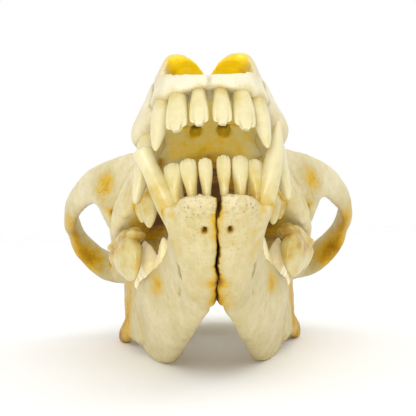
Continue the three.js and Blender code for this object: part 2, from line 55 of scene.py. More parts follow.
# %% Resting place of the skull and opening of the jaw
MUZZLE_RAISED = math.radians(24.85)
TABLE_BELOW_SOCKETS = 101.9
BACK_OF_SOCKETS = -128.582
GAPE = math.radians(3.7)
JAW_HINGE = np.array([0.0, 190.0, 3.5])
JAW_BACK = 8.4
JAW_DROP = 17.5
JAW_ASIDE = 1.4
HINGE_IN_JAW = JAW_HINGE - np.array([0.0, JAW_BACK, -JAW_DROP])

to_table = (
    Matrix.Scale(MM, 4)
    @ Matrix.Translation((0, BACK_OF_SOCKETS, TABLE_BELOW_SOCKETS))
    @ Matrix.Rotation(-MUZZLE_RAISED, 4, "X")
)
jaw_to_skull = (
    Matrix.Translation((-JAW_ASIDE / 2, JAW_HINGE[1], JAW_HINGE[2]))
    @ Matrix.Rotation(GAPE, 4, "X")
    @ Matrix.Rotation(1.5 * JAW_ASIDE / HINGE_IN_JAW[1], 4, "Z")
    @ Matrix.Translation(-Vector(HINGE_IN_JAW))
)


def carried(points, matrix):
    """Points turned and moved by a matrix: each row times the turn, plus the shift."""
    turn = np.array(matrix.to_3x3())
    return points @ turn.T + np.array(matrix.translation)


print("front of the upper sockets on the table:", carried(np.zeros((1, 3)), to_table)[0])

# %% [markdown]
# ## Camera
# The picture was taken close to the skull, almost level with the table. A camera fitted to the tips of
# the teeth, the cheekbones and the jaw angles gives the place and the turn used here, so the view shows
# the same foreshortening as the real one.

# %% Camera
PICTURE_WIDTH = 416
FOCAL_PIXELS = 938.0
SENSOR_WIDTH = 36.0
CAMERA_IN_SKULL = np.array([[-4.9, -268.9, -166.5]])
CAMERA_TURN = [math.radians(angle) for angle in (25.2, 1.57, -0.59)]

camera_data = bpy.data.cameras.new("camera")
camera_data.sensor_width = SENSOR_WIDTH
camera_data.lens = SENSOR_WIDTH * FOCAL_PIXELS / PICTURE_WIDTH
camera_data.clip_start = 0.01
camera_data.clip_end = 20.0
camera = bpy.data.objects.new("camera", camera_data)
bpy.context.collection.objects.link(camera)
pitch, roll, yaw = CAMERA_TURN
turn_in_skull = (
    Matrix.Rotation(pitch, 3, "X") @ Matrix.Rotation(roll, 3, "Y") @ Matrix.Rotation(yaw, 3, "Z")
)
looking_level = Matrix.Rotation(math.radians(90), 3, "X")
place = (Matrix.Rotation(-MUZZLE_RAISED, 3, "X") @ turn_in_skull @ looking_level).to_4x4()
place.translation = carried(CAMERA_IN_SKULL, to_table)[0]
camera.matrix_world = place
bpy.context.scene.camera = camera
print("camera at", place.translation, "lens", camera_data.lens)

# %% [markdown]
# ## Surfaces from rings
# Bones and teeth are rounded bars and shells, so each is a grid of points: rings along it, points round
# each ring. A curve through a few named sizes tells how wide or high the bone is at each place. Drawing
# the mesh by hand would hide these sizes, and a grid keeps them in sight.


# %% Smooth values, grids and bars
def through(*pairs):
    """A value along a length: a cubic between neighbouring pairs, with harmonic-mean slopes at them."""
    place, value = np.array(pairs, float).T
    slope = np.diff(value) / np.diff(place)
    before, after = slope[:-1], slope[1:]
    total = np.where(before * after > 0, before + after, 1)
    inner = np.where(before * after > 0, 2 * before * after / total, 0)
    tangent = np.concatenate([slope[:1], inner, slope[-1:]])

    def curve(at):
        s = np.clip(at, place[0], place[-1])
        i = np.clip(np.searchsorted(place, s, side="right") - 1, 0, len(place) - 2)
        span = place[i + 1] - place[i]
        t = (s - place[i]) / span
        rise = (value[i + 1] - value[i]) * t * t * (3 - 2 * t)
        bend = tangent[i] * t * (1 - t) ** 2 + tangent[i + 1] * t * t * (t - 1)
        return value[i] + rise + span * bend

    return curve


def thins(root, loss=0.0):
    """A half-width along a bar: root at its start, less by loss at its tip, in a straight line."""
    return lambda u: root - loss * u


def round_ring(sides):
    """Even angles once round a ring, as one row."""
    return np.linspace(0, 2 * np.pi, sides, endpoint=False)[None]


def squared(value, power):
    """Cosine or sine drawn towards a square: its sign times its size to the power 2/power."""
    return np.sign(value) * np.abs(value) ** (2 / power)


def closed(grid):
    """Triangles of a tube given as rings x sides points, with a fan of triangles over each end."""
    rings, sides = grid.shape[:2]
    ring, side = np.meshgrid(np.arange(rings - 1), np.arange(sides), indexing="ij")
    a = ring * sides + side
    b = ring * sides + (side + 1) % sides
    walls = np.stack([a, b, b + sides, a, b + sides, a + sides], axis=-1).reshape(-1, 3)
    points = np.concatenate([grid.reshape(-1, 3), grid[[0, -1]].mean(axis=1)])
    turn = np.arange(sides)
    after = (turn + 1) % sides
    last = (rings - 1) * sides
    first_fan = np.stack([np.full(sides, rings * sides), after, turn], axis=-1)
    last_fan = np.stack([np.full(sides, rings * sides + 1), last + turn, last + after], axis=-1)
    faces = np.concatenate([walls, first_fan, last_fan])
    corner = points[faces]
    volume = np.einsum("ij,ij->i", corner[:, 0], np.cross(corner[:, 1], corner[:, 2])).sum()
    return points, faces if volume > 0 else faces[:, ::-1]


def smooth_path(stations, along):
    """Points of a curve through the stations: cubics whose slope is half the gap between the neighbours."""
    knots = np.array(stations, float)
    padded = np.concatenate([2 * knots[:1] - knots[1:2], knots, 2 * knots[-1:] - knots[-2:-1]])
    place = np.clip(along, 0, 1) * (len(knots) - 1)
    i = np.clip(place.astype(int), 0, len(knots) - 2)
    t = (place - i)[:, None]
    p0, p1, p2, p3 = (padded[i + k] for k in range(4))
    slope, bend, twist = p2 - p0, 2 * p0 - 5 * p1 + 4 * p2 - p3, 3 * p1 - p0 - 3 * p2 + p3
    return 0.5 * (2 * p1 + slope * t + bend * t**2 + twist * t**3)


def bar(stations, wide, tall, up=(0, 0, 1), rings=60, sides=40, power=2.4):
    """An oval carried along a path: wide(u) across it and tall(u) along the up way, squared by power."""
    u = np.linspace(0, 1, rings)
    middle = smooth_path(stations, u)
    along = np.gradient(middle, axis=0)
    along /= np.linalg.norm(along, axis=1, keepdims=True)
    across = np.cross(along, np.array(up, float))
    across /= np.linalg.norm(across, axis=1, keepdims=True)
    rise = np.cross(across, along)
    turn = round_ring(sides)
    side = np.broadcast_to(wide(u), u.shape)[:, None] * squared(np.cos(turn), power)
    high = np.broadcast_to(tall(u), u.shape)[:, None] * squared(np.sin(turn), power)
    return closed(middle[:, None] + side[..., None] * across[:, None] + high[..., None] * rise[:, None])


def ellipsoid(centre, radii, turn=(0, 0, 0), rings=32, sides=48):
    """A ball stretched by radii, turned and moved: rings are circles of latitude."""
    latitude = np.linspace(-np.pi / 2, np.pi / 2, rings + 2)[1:-1, None]
    longitude = round_ring(sides)
    x = np.cos(latitude) * np.cos(longitude)
    y = np.cos(latitude) * np.sin(longitude)
    z = np.sin(latitude) + 0 * longitude
    ball = np.stack([x, y, z], axis=-1) * np.array(radii)
    return closed(ball @ np.array(Euler(turn).to_matrix()).T + np.array(centre))


def mirrored(surface):
    """The same surface on the other side: X changes sign and each face is turned round."""
    points, faces = surface
    return points * np.array([-1, 1, 1]), faces[:, ::-1]


def both_sides(*surfaces):
    """Each surface and its mirror image."""
    return [half for surface in surfaces for half in (surface, mirrored(surface))]


print("a bar of", len(bar([(0, 0, 0), (0, 1, 0)], thins(1), thins(1))[0]), "points is ready")

# %% [markdown]
# ## Fusing and carving
# A real cranium grows as one skin over many bones. Overlapping grids are fused by laying even voxel cells
# over all of them, and the cells are then relaxed, so that arches, crests and capsules run into one
# another with soft hollows. Openings are cut with exact booleans first, so that their edges stay clean.


# %% Fusing, carving and relaxing
def fill(mesh, points, faces):
    """Puts arrays of points and of equal-sided faces into an empty mesh."""
    mesh.vertices.add(len(points))
    mesh.vertices.foreach_set("co", np.asarray(points, np.float32).ravel())
    mesh.loops.add(faces.size)
    mesh.loops.foreach_set("vertex_index", np.asarray(faces, np.int32).ravel())
    mesh.polygons.add(len(faces))
    mesh.polygons.foreach_set("loop_start", np.arange(0, faces.size, faces.shape[1], dtype=np.int32))
    mesh.update(calc_edges=True)


def arrays(mesh):
    """Points and faces of a mesh: its quads where all faces are quads, else its triangles."""
    points = np.empty(len(mesh.vertices) * 3, np.float32)
    mesh.vertices.foreach_get("co", points)
    sizes = np.empty(len(mesh.polygons), np.int32)
    mesh.polygons.foreach_get("loop_total", sizes)
    if (sizes == 4).all():
        faces = np.empty(len(sizes) * 4, np.int32)
        mesh.loops.foreach_get("vertex_index", faces)
        return points.reshape(-1, 3).astype(float), faces.reshape(-1, 4)
    mesh.calc_loop_triangles()
    faces = np.empty(len(mesh.loop_triangles) * 3, np.int32)
    mesh.loop_triangles.foreach_get("vertices", faces)
    return points.reshape(-1, 3).astype(float), faces.reshape(-1, 3)


def working(surface):
    """A passing object that holds a surface while a modifier works on it."""
    mesh = bpy.data.meshes.new("working")
    fill(mesh, *surface)
    thing = bpy.data.objects.new("working", mesh)
    bpy.context.scene.collection.objects.link(thing)
    return thing


def finished(thing, *helpers):
    """The arrays of a passing object after its modifiers. It and its helpers are then removed."""
    view = bpy.context.evaluated_depsgraph_get()
    shown = thing.evaluated_get(view)
    result = arrays(shown.to_mesh())
    shown.to_mesh_clear()
    for done in (thing, *helpers):
        mesh = done.data
        bpy.data.objects.remove(done)
        bpy.data.meshes.remove(mesh)
    return result


def joined(surfaces):
    """Several surfaces as one pair of arrays, with the face numbers moved on."""
    shift = np.cumsum([0] + [len(points) for points, faces in surfaces[:-1]])
    faces = [triangles + start for (points, triangles), start in zip(surfaces, shift)]
    return np.concatenate([points for points, triangles in surfaces]), np.concatenate(faces)


def fused(surfaces, cell):
    """One skin round all the surfaces, on voxel cells of that size."""
    thing = working(joined(surfaces))
    remesh = thing.modifiers.new("cells", "REMESH")
    remesh.mode = "VOXEL"
    remesh.voxel_size = cell
    return finished(thing)


def carved(surface, cutters):
    """The surface with every cutter taken out of it."""
    thing = working(surface)
    tools = [working(cutter) for cutter in cutters]
    for tool in tools:
        cut = thing.modifiers.new("cut", "BOOLEAN")
        cut.operation = "DIFFERENCE"
        cut.solver = "MANIFOLD"
        cut.object = tool
    return finished(thing, *tools)


def edges_of(faces):
    """Each edge of the faces once, as pairs of point numbers."""
    pairs = np.stack([faces, np.roll(faces, -1, axis=1)], axis=-1).reshape(-1, 2)
    pairs.sort(axis=1)
    key = np.unique(pairs[:, 0].astype(np.int64) * (faces.max() + 1) + pairs[:, 1])
    return np.stack([key // (faces.max() + 1), key % (faces.max() + 1)], axis=-1)


def neighbour_mean(values, edges):
    """For each point, the mean of a value over the points that an edge joins to it."""
    start, end = np.concatenate([edges, edges[:, ::-1]]).T
    count = np.bincount(start, minlength=len(values))
    columns = [np.bincount(start, weights=column[end], minlength=len(values)) for column in values.T]
    return np.stack(columns, axis=-1) / np.maximum(count, 1)[:, None]


DRAWN_IN, PUSHED_BACK = 0.55, 0.5


def relaxed(surface, rounds):
    """Points drawn to the mean of their neighbours and partly pushed back: steps go and size stays."""
    points, faces = surface
    edges = edges_of(faces)
    for _ in range(rounds):
        points = points + DRAWN_IN * (neighbour_mean(points, edges) - points)
        points = points - PUSHED_BACK * (neighbour_mean(points, edges) - points)
    return points, faces


def normals_of(points, faces):
    """Outward direction at each point: the sum of the cross products of its faces' diagonals."""
    corner = points[faces]
    across = corner[:, 2] - corner[:, 0]
    down = corner[:, -1] - corner[:, 1]
    shares = np.repeat(np.cross(across, down), faces.shape[1], axis=0)
    columns = [np.bincount(faces.ravel(), weights=share, minlength=len(points)) for share in shares.T]
    total = np.stack(columns, axis=-1)
    return total / np.maximum(np.linalg.norm(total, axis=1, keepdims=True), 1e-9)


print("fusing tools are ready")

# %% [markdown]
# ## Outline of the cranium
# From the incisors to the back of the head the cranium is a tube whose cross-section changes all the way:
# narrow over the muzzle, broad at the cheek teeth, waisted behind the eyes and round at the brain. Eight
# points make each section, palate, sockets, walls, brows and roof, and a closed smooth curve joins them.

# %% Sections of the cranium
BODY_START = -3.0
BODY_END = 246.0
roof_z = through(
    (-3, 9), (4, 16.5), (12, 24.8), (18, 27.6), (34, 33), (60, 41.5), (85, 50), (102, 58), (118, 68),
    (134, 75), (155, 75), (185, 71), (210, 68), (235, 68), (246, 71),
)
palate_z = through(
    (-3, 4.5), (10, 4.5), (50, 5), (80, 3.5), (108, 1), (122, 5), (135, 19), (160, 22), (190, 18),
    (225, 15), (246, 15),
)
socket_half = through(
    (-3, 9), (3, 15.5), (10, 19.5), (20, 24), (28, 27.4), (36, 26), (46, 23.8), (52, 24.4), (60, 26.5),
    (69, 30), (80, 36.5), (88, 40), (96, 41.8), (104, 42), (114, 39.5), (122, 30), (130, 14), (150, 11),
    (175, 15), (200, 17), (225, 20), (246, 21),
)
socket_z = through(
    (-3, 2.6), (4, 3), (9, 3), (16, 1.4), (26, 0), (45, -1), (60, -3), (69, -4.4), (80, -6), (90, -7.5),
    (104, -9), (118, -8), (126, 7), (135, 17), (160, 20), (190, 15), (225, 14), (246, 17),
)
wall_half = through(
    (-3, 8), (3, 14.5), (12, 17.5), (28, 23), (40, 20.5), (60, 20.5), (75, 24.5), (90, 30), (103, 31),
    (115, 23), (130, 18), (150, 20.5), (170, 27), (190, 32), (205, 33.5), (222, 33), (238, 34), (246, 32),
)
wall_z = through(
    (-3, 6), (12, 16), (60, 22), (90, 27), (110, 33), (130, 42), (160, 44), (205, 40), (235, 36), (246, 36)
)
brow_half = through(
    (-3, 6), (4, 11), (12, 13.8), (18, 13.5), (30, 12.5), (60, 12.5), (85, 16), (102, 21), (118, 25.5),
    (133, 31), (143, 24), (152, 18.5), (170, 20), (190, 24), (210, 24), (235, 20), (246, 17),
)
brow_z = through(
    (-3, 8), (12, 26.5), (18, 29.7), (30, 33.5), (60, 40), (85, 47), (102, 55), (118, 63.5), (133, 67),
    (150, 66), (170, 62), (205, 58), (235, 57), (246, 60),
)
LEAN_LEVEL = 25
occiput_lean = through((190, 0), (225, 0.06), (246, 0.17))


def cranium_body(rings, sides):
    """Sections along Y: a closed smooth curve through the eight points, leaning more towards the back."""
    y = np.linspace(BODY_START, BODY_END, rings)
    right = [(socket_half(y), socket_z(y)), (wall_half(y), wall_z(y)), (brow_half(y), brow_z(y))]
    left = [(-x, z) for x, z in reversed(right)]
    knots = np.array([(0 * y, palate_z(y)), *right, (0 * y, roof_z(y)), *left])
    place = np.arange(sides) * len(knots) / sides
    i = place.astype(int)
    t = (place - i)[:, None, None]
    p0, p1, p2, p3 = (knots[(i + k - 1) % len(knots)] for k in range(4))
    curve = p1 + 0.5 * t * (p2 - p0 + t * (2 * p0 - 5 * p1 + 4 * p2 - p3 + t * (3 * (p1 - p2) + p3 - p0)))
    x, z = curve.transpose(1, 2, 0)
    leaning = y[:, None] + occiput_lean(y)[:, None] * (z - LEAN_LEVEL)
    return closed(np.stack([x, leaning, z], axis=-1))


body = cranium_body(220, 160)
print("cranium body spans", body[0].min(axis=0), "to", body[0].max(axis=0))

# %% [markdown]
# ## Arches, crests and capsules
# The cheekbones bow out to make room for the jaw muscles. A crest runs along the top of the braincase and
# another round the back of the head, where the muscles end. Under the back sit the two ear capsules, and
# behind them the knuckles that carried the skull on the neck.

# %% Cheekbones
BACKWARDS = (0, 1, 0)
CHEEK_PATH = [
    (26, 96, 18), (40, 105, 22.5), (53, 118, 28.4), (62.5, 133, 28), (67.7, 150, 28.5), (68.7, 168, 30.5),
    (65.5, 182, 25.5), (54, 195, 19.5), (36, 201, 20.5), (24, 204, 27),
]
cheek_wide = through((0, 9), (0.25, 4.2), (0.5, 3), (0.7, 3.4), (0.82, 5), (1, 8))
cheek_tall = through(
    (0, 15), (0.11, 13), (0.22, 8.4), (0.33, 7), (0.44, 7.8), (0.56, 7), (0.78, 8), (1, 10)
)
cheekbone = bar(CHEEK_PATH, cheek_wide, cheek_tall, rings=140, sides=64, power=2.6)
SPUR_PATH = [(66.2, 144, 29), (66.2, 147, 34), (65.7, 150, 38.5)]
cheek_spur = bar(SPUR_PATH, thins(2.8, 1), thins(7, 5), BACKWARDS)
cheek_root = bar([(48, 115, 21), (42.8, 110, 8), (37, 106, -3)], thins(4), thins(4.6, 1), BACKWARDS)
print("cheekbone reaches", cheekbone[0][:, 0].max(), "mm to the side")

# %% Crests
CREST_START, CREST_END, CREST_FOOT = 138, 257, 48
CREST_TIP_HALF, CREST_FOOT_GAIN = 1.3, 3.4
crest_top = through((138, 74), (165, 79), (200, 81.5), (235, 80), (258, 73))


def crest_plate(rings, sides):
    """A thin upright oval along the midline, from inside the braincase to the crest's top at each place."""
    y = np.linspace(CREST_START, CREST_END, rings)[:, None]
    turn = round_ring(sides)
    height = (crest_top(y) - CREST_FOOT) / 2
    thin = CREST_TIP_HALF + CREST_FOOT_GAIN * (1 - np.sin(turn)) / 2
    x = thin * squared(np.cos(turn), 2.2) + 0 * y
    z = CREST_FOOT + height + height * squared(np.sin(turn), 2.2)
    return closed(np.stack([x, y + 0 * turn, z], axis=-1))


NECK_CREST_HALF = [(36, 231, 22), (33, 243, 40), (20, 250, 60)]
NECK_CREST = [*NECK_CREST_HALF, (0, 254, 71), *[(-x, y, z) for x, y, z in reversed(NECK_CREST_HALF)]]
neck_crest = bar(NECK_CREST, thins(5), thins(3.4), BACKWARDS, rings=120)
neck_spur = bar([(26, 226, 24), (28, 229, 10), (28.5, 231, -1)], thins(6, 4), thins(5, 3), BACKWARDS)
print("crest rises to", crest_plate(80, 40)[0][:, 2].max(), "mm")

# %% Capsules, knuckles and swollen tooth roots
knuckle = ellipsoid((13.5, 246, 22), (8.5, 9.5, 10))
ear_capsule = ellipsoid((19.5, 203, 13.5), (11, 15.5, 12))
ear_bump = ellipsoid((33, 222, 27), (8, 10, 13))
joint_shelf = ellipsoid((37, 194, 15), (15, 10, 7))
joint_stop = ellipsoid((33, 200, 7), (9, 2.6, 9))
throat_plate = bar([(11.5, 112, 16.5), (11.5, 139, 17.5), (11.5, 166, 18)], thins(1.6), thins(9.5, 1.5))
canine_root = bar([(22.5, 27, 2), (20.5, 36, 14), (17, 48, 24)], thins(5.6, 1.4), thins(6.5, 1.5))
CHEEK_ROOTS_Y = (51, 57, 63, 71, 81, 95)
INCISOR_ROOTS = ((3.7, 2.4), (10.3, 4.2), (16, 8.5))


def cheek_tooth_root(y):
    """A bar from the socket's edge up and inwards into the wall, at one place along the row."""
    x, z = socket_half(y) - 2.4, socket_z(y) + 1
    path = [(x, y, z), (x - 1.8, y + 1.5, z + 10), (x - 4, y + 3, z + 20)]
    return bar(path, thins(3.4, 1.4), thins(3.2, 1.2), BACKWARDS)


def incisor_root(x, y):
    """A bar from the front edge up and backwards, drawing in towards the midline."""
    path = [(x, y, 5.4), (x * 0.93, y + 2.6, 9), (x * 0.85, y + 7, 13)]
    return bar(path, thins(2.2, 1), thins(2.2, 1), BACKWARDS)


root_swellings = [cheek_tooth_root(y) for y in CHEEK_ROOTS_Y]
root_swellings += [incisor_root(x, y) for x, y in INCISOR_ROOTS]
added = both_sides(
    cheekbone, cheek_root, cheek_spur, neck_spur, knuckle, ear_capsule, ear_bump, joint_shelf, joint_stop,
    throat_plate, canine_root, *root_swellings,
)
print("cranium has", len(added) + 3, "overlapping surfaces")

# %% [markdown]
# ## Openings of the cranium
# The nose is a passage under a thin roof, cut off on a slant so that one looks into it from the front, with
# a notch between the two nasal bones. The eye hollows, the slits behind the incisors, the throat, the ears
# and the hole for the spine are other openings. Each is a ball, a box or a tube taken out of the solid. The
# windows under the arches need no cut, because the arches stand clear of the body.

# %% Cutters
NOSE_FRONT, NOSE_END = -12, 62
nose_floor = through((-12, 8.6), (5, 9), (30, 11), (62, 20))
nose_roof = through((-12, 40), (12, 24.4), (18, 27.6), (30, 31.2), (62, 36))
nose_half = through((-12, 16), (8, 15.6), (30, 12), (62, 6))


def nose_passage(rings, sides):
    """A tube under the nasal bones: round below, squarer above, from the floor to just under the roof."""
    y = np.linspace(NOSE_FRONT, NOSE_END, rings)[:, None]
    turn = round_ring(sides)
    low, high = nose_floor(y), nose_roof(y)
    x = nose_half(y) * squared(np.cos(turn), 2.5)
    squareness = np.where(np.sin(turn) > 0, 3.2, 2.0)
    z = (low + high) / 2 + (high - low) / 2 * squared(np.sin(turn), squareness)
    return closed(np.stack([x, y + 0 * turn, z], axis=-1))


def box(centre, sizes):
    """A box as a tube of two square rings."""
    sign = np.array([[(-1, -1), (1, -1), (1, 1), (-1, 1)]] * 2)
    up = np.array([-1, 1])[:, None] + 0 * sign[..., 0]
    corners = np.concatenate([sign, up[..., None]], axis=-1) * np.array(sizes) / 2
    return closed(corners + np.array(centre))


SLANT = -0.59
NOTCH_LEVELS = (22.0, 46.0)
slanted = Matrix.Translation((0, 1.5, 10.5)) @ Matrix.Rotation(SLANT, 4, "X")
slant_points, slant_faces = box((0, -20, 30), (60, 40, 60))
nose_cut = (carried(slant_points, slanted), slant_faces)


def nasal_notch(steps):
    """An upright prism whose outline is a bent V between the tips of the nasal bones, open to the front."""
    t = np.linspace(0, 1, steps)
    x = -11 * (1 - t) ** 2 - 5.2 * t * (1 - t)
    y = 10 * (1 - t) ** 2 + 37 * t * (1 - t) + 41 * t**2
    outline = np.stack([np.append(x, -x[-2::-1]), np.append(y, y[-2::-1])], axis=-1)
    levels = np.array(NOTCH_LEVELS)[:, None, None] + np.zeros((2, len(outline), 1))
    return closed(np.concatenate([np.stack([outline, outline]), levels], axis=-1))


orbit = ellipsoid((42, 119, 48), (21, 17, 17), (0, 0, 0.3), 48, 64)
palate_slit = ellipsoid((5, 29.5, 3), (2.8, 6, 7))
cheek_nerve_hole = ellipsoid((29, 73, 21), (2.6, 9, 4.5), (0, 0, -0.35))
throat_opening = ellipsoid((0, 138, 15), (9, 22, 10))
spine_hole = ellipsoid((0, 262, 33), (10, 30, 9))
ear_hole = ellipsoid((36, 204, 21), (9, 3, 3))
joint_groove = bar([(x, *JAW_HINGE[1:]) for x in (18, 35, 52)], thins(5.2), thins(5.2), power=2)
print("the nose passage is", nose_half(NOSE_FRONT) * 2, "mm wide in front")

# %% [markdown]
# ## The cranium as one skin
# First the eye hollows are taken from the body, so that the arches still cross them. Then everything is
# fused and carved. The last fusing gives even quads, small enough for the drawn details that follow. The
# thin walls inside the nose show the cells most, so they are relaxed longer.

# %% Fuse the cranium
BODY_CELL, ROUGH_CELL, CRANIUM_CELL = 1.2, 1.0, 0.95
NOSE_ROUNDS = 30
hollowed = carved(fused([body], BODY_CELL), both_sides(orbit))
rough = fused([hollowed, crest_plate(80, 40), neck_crest, *added], ROUGH_CELL)
rough = relaxed(rough, 3)
openings = [nose_cut, nasal_notch(16), nose_passage(40, 64), throat_opening, spine_hole]
openings += both_sides(palate_slit, cheek_nerve_hole, ear_hole, joint_groove)
cranium_points, cranium_faces = relaxed(fused([carved(rough, openings)], CRANIUM_CELL), 2)
smoother = relaxed((cranium_points, cranium_faces), NOSE_ROUNDS)[0]
x, y, z = cranium_points.T
in_nose = (np.abs(x) < nose_half(y)) & (y > 13) & (y < NOSE_END)
in_nose &= (z > nose_floor(y) + 3) & (z < nose_roof(y) + 1)
cranium_points = np.where(in_nose[:, None], smoother, cranium_points)
print("cranium:", len(cranium_points), "points", len(cranium_faces), "quads")

# %% [markdown]
# ## Drawing on bone
# Seams between bones, nerve holes, muscle lines and root swellings are too fine for separate shapes. They
# are strokes: a path is laid over the bone as seen from one side, and every point near it that faces that
# side moves in or out along its own outward direction. A wavy path makes a seam look grown, not ruled.

# %% Strokes, pits and slow unevenness
VIEWS = {
    "side": ((1, 2), (1, 0, 0)),
    "top": ((0, 1), (0, 0, 1)),
    "below": ((0, 1), (0, 0, -1)),
    "front": ((0, 2), (0, -1, 0)),
}
FACES_VIEW = 0.12
BENDS_PER_STRETCH = 14
dice = np.random.default_rng(1907)


def folded(points):
    """Points of both halves brought to one side: X without its sign."""
    return np.abs(points * np.array([1, 0, 0])) + points * np.array([0, 1, 1])


def nearest(flat, path):
    """Distance from each point to a polyline: the least distance to any of its stretches."""
    least = np.full(len(flat), np.inf)
    for start, end in zip(path[:-1], path[1:]):
        stretch = end - start
        t = np.clip((flat - start) @ stretch / (stretch @ stretch), 0, 1)
        least = np.minimum(least, np.linalg.norm(flat - start - t[:, None] * stretch, axis=1))
    return least


def stroke(points, normals, view, path, width, wobble=0.0):
    """How strongly a stroke acts, 0 to 1: a bell over the distance to the path, on both halves."""
    axes, facing = VIEWS[view]
    half = np.sign(points[:, :1] + 1e-9) ** np.array([1, 0, 0])
    path = np.array(path, float)
    bends = smooth_path(path, np.linspace(0, 1, BENDS_PER_STRETCH * (len(path) - 1)))
    bends = bends + wobble * dice.uniform(-1, 1, bends.shape)
    flat = (points * half)[:, axes]
    reach = np.abs(flat - np.clip(flat, bends.min(axis=0), bends.max(axis=0))).max(axis=1) < 4 * width
    reach &= (normals * half) @ np.array(facing, float) > FACES_VIEW
    act = np.zeros(len(points))
    act[reach] = np.exp(-((nearest(flat[reach], bends) / width) ** 2))
    return act


def pit(points, start, end, radius):
    """How strongly a hole acts, 0 to 1: a bell over the distance to a short line, on both halves."""
    return np.exp(-((nearest(folded(points), np.array([start, end], float)) / radius) ** 2))


def swell(points, longest, shortest, count):
    """Slow unevenness, about -1 to 1: the mean of many plane waves in seeded directions."""
    ways = dice.normal(size=(count, 3))
    ways /= np.linalg.norm(ways, axis=1, keepdims=True)
    ways *= 2 * np.pi / dice.uniform(shortest, longest, (count, 1))
    waves = np.sin(points @ ways.T + dice.uniform(0, 2 * np.pi, count))
    return waves.mean(axis=1) * math.sqrt(count / 2)


print("a stroke can be laid over", ", ".join(VIEWS))

# %% [markdown]
# ## Seams, lines and holes of the cranium
# The nasal bones end in a point between the eyes, and the front jaw bone reaches up beside them. Two
# muscle lines run from the brows to the crest. Under the muzzle a seam divides the palate.

# %% Details of the cranium
# Each seam or line: where it is seen from, its path, its half-width, and its depth or height.
SEAMS = [
    ("top", [(0, 28), (0, 60), (0, 101)], 0.75, 0.55),
    ("top", [(11.5, 17), (12, 42), (9.5, 75), (5, 97), (0.5, 104)], 0.75, 0.5),
    ("top", [(0, 106), (0, 128), (0, 150)], 0.7, 0.4),
    ("top", [(0, 160), (9, 157), (19, 166)], 0.7, 0.4),
    ("side", [(11, 3), (16, 14), (26, 26), (40, 35), (50, 38)], 0.75, 0.55),
    ("side", [(150, 36), (160, 31), (172, 27), (184, 20)], 0.75, 0.6),
    ("side", [(162, 50), (178, 58), (198, 58), (216, 46)], 0.75, 0.45),
    ("front", [(0, 2), (0, 6), (0, 10)], 0.5, 0.35),
    ("below", [(0, 60), (0, 90), (0, 118)], 0.6, 0.45),
    ("below", [(6, 25), (12, 22), (19, 18)], 0.7, 0.7),
    ("below", [(0, 86), (9, 88), (15, 97), (20, 112)], 0.7, 0.45),
]
LINES = [
    ("top", [(30, 134), (20, 144), (11, 153), (3, 166)], 2.2, 1.2),
    ("side", [(96, 36), (103, 42), (106, 52)], 2.0, 0.8),
    ("side", [(246, 22), (236, 44), (228, 54)], 2.5, 0.6),
    ("side", [(68, -6), (70, 8), (73, 20)], 1.6, 0.9),
    ("side", [(78, -8), (80, 8), (82, 22)], 1.5, 0.8),
    ("side", [(86, -9), (87, 6), (88, 20)], 1.5, 0.9),
]
# Each hole: both ends of its middle line, its radius and its depth.
HOLES = [
    ((33, 103, 44), (33, 106, 45), 1.3, 1.4),
    ((14, 88, 4), (14, 92, 4), 1.3, 1.5),
    ((17, 120, 30), (18, 124, 31), 2.0, 1.5),
    ((13, 140, 32), (15, 146, 33), 2.4, 2.0),
]
SEAM_WOBBLE, SEAM_DARK = 0.45, 0.3
normals = normals_of(cranium_points, cranium_faces)
cranium_seams_and_hole_shade = np.zeros(len(cranium_points))
push = 0.22 * swell(cranium_points, 26, 9, 24) + 0.07 * swell(cranium_points, 6, 3, 24)
for view, path, width, depth in SEAMS:
    act = stroke(cranium_points, normals, view, path, width, SEAM_WOBBLE)
    cranium_seams_and_hole_shade = np.maximum(cranium_seams_and_hole_shade, SEAM_DARK * act)
    push = push - depth * act
for view, path, width, height in LINES:
    push = push + height * stroke(cranium_points, normals, view, path, width)
# Each hole is also painted dark: painted shade for its depth.
for start, end, radius, depth in HOLES:
    act = pit(cranium_points, start, end, radius)
    cranium_seams_and_hole_shade = np.maximum(cranium_seams_and_hole_shade, act)
    push = push - depth * act
cranium_points = cranium_points + push[:, None] * normals
print("cranium details move the bone by", push.min(), "to", push.max(), "mm")

# %% [markdown]
# ## Shape of a jaw half
# Each half of the jaw is a deep, thick bar that carries the teeth, and a thin upright branch behind them
# for the chewing muscles, with a cross-bar that hinges on the skull and a hook at the lower back corner.
# The halves meet at the chin in a rough seam that never closes in a wolf.

# %% Jaw bar and branch
JAW_FRONT, JAW_END = -2, 140
BRANCH_FOOT, BRANCH_TOP = -20, 54
BRANCH_ASIDE, BRANCH_START = 31.2, 125
BRANCH_SPREAD, BRANCH_LEAN = 0.185, 0.03
jaw_top_x = through(
    (-2, 5.6), (5, 7.8), (12, 9.6), (22, 11), (34, 13.2), (46, 15), (56, 17), (68, 20.4), (80, 25),
    (90, 28.2), (100, 29.6), (120, 31.4), (140, 34),
)
jaw_top_z = through(
    (-2, -2), (5, 0), (12, 1), (34, -1), (60, -3), (80, -3), (90, -2.2), (104, -1.6), (120, 1.5), (140, 8)
)
jaw_foot_x = through(
    (-2, 4), (12, 4.8), (34, 5.2), (48, 5.2), (55, 7), (62, 9), (80, 13.5), (105, 18.8), (125, 25.3),
    (140, 29.5),
)
jaw_foot_z = through(
    (-2, -6), (5, -10), (12, -15), (22, -20.5), (34, -25), (46, -28), (60, -30.5), (80, -33), (103, -34.5),
    (115, -32.5), (125, -28.5), (140, -20.5),
)
jaw_half_thick = through(
    (-2, 5.4), (5, 7.8), (12, 8.1), (22, 7.5), (34, 6.5), (46, 5.4), (60, 5.2), (72, 5.6), (82, 6.2),
    (92, 6), (104, 5.2), (120, 4.4), (140, 4),
)
branch_front = through((-20, 118), (-10, 113), (5, 124), (15, 133), (30, 143), (45, 152), (54, 160))
branch_back = through(
    (-20, 131), (-14, 148), (-9, 163), (-4, 173), (10, 178), (20, 180), (27, 177), (35, 174), (45, 173),
    (54, 167),
)
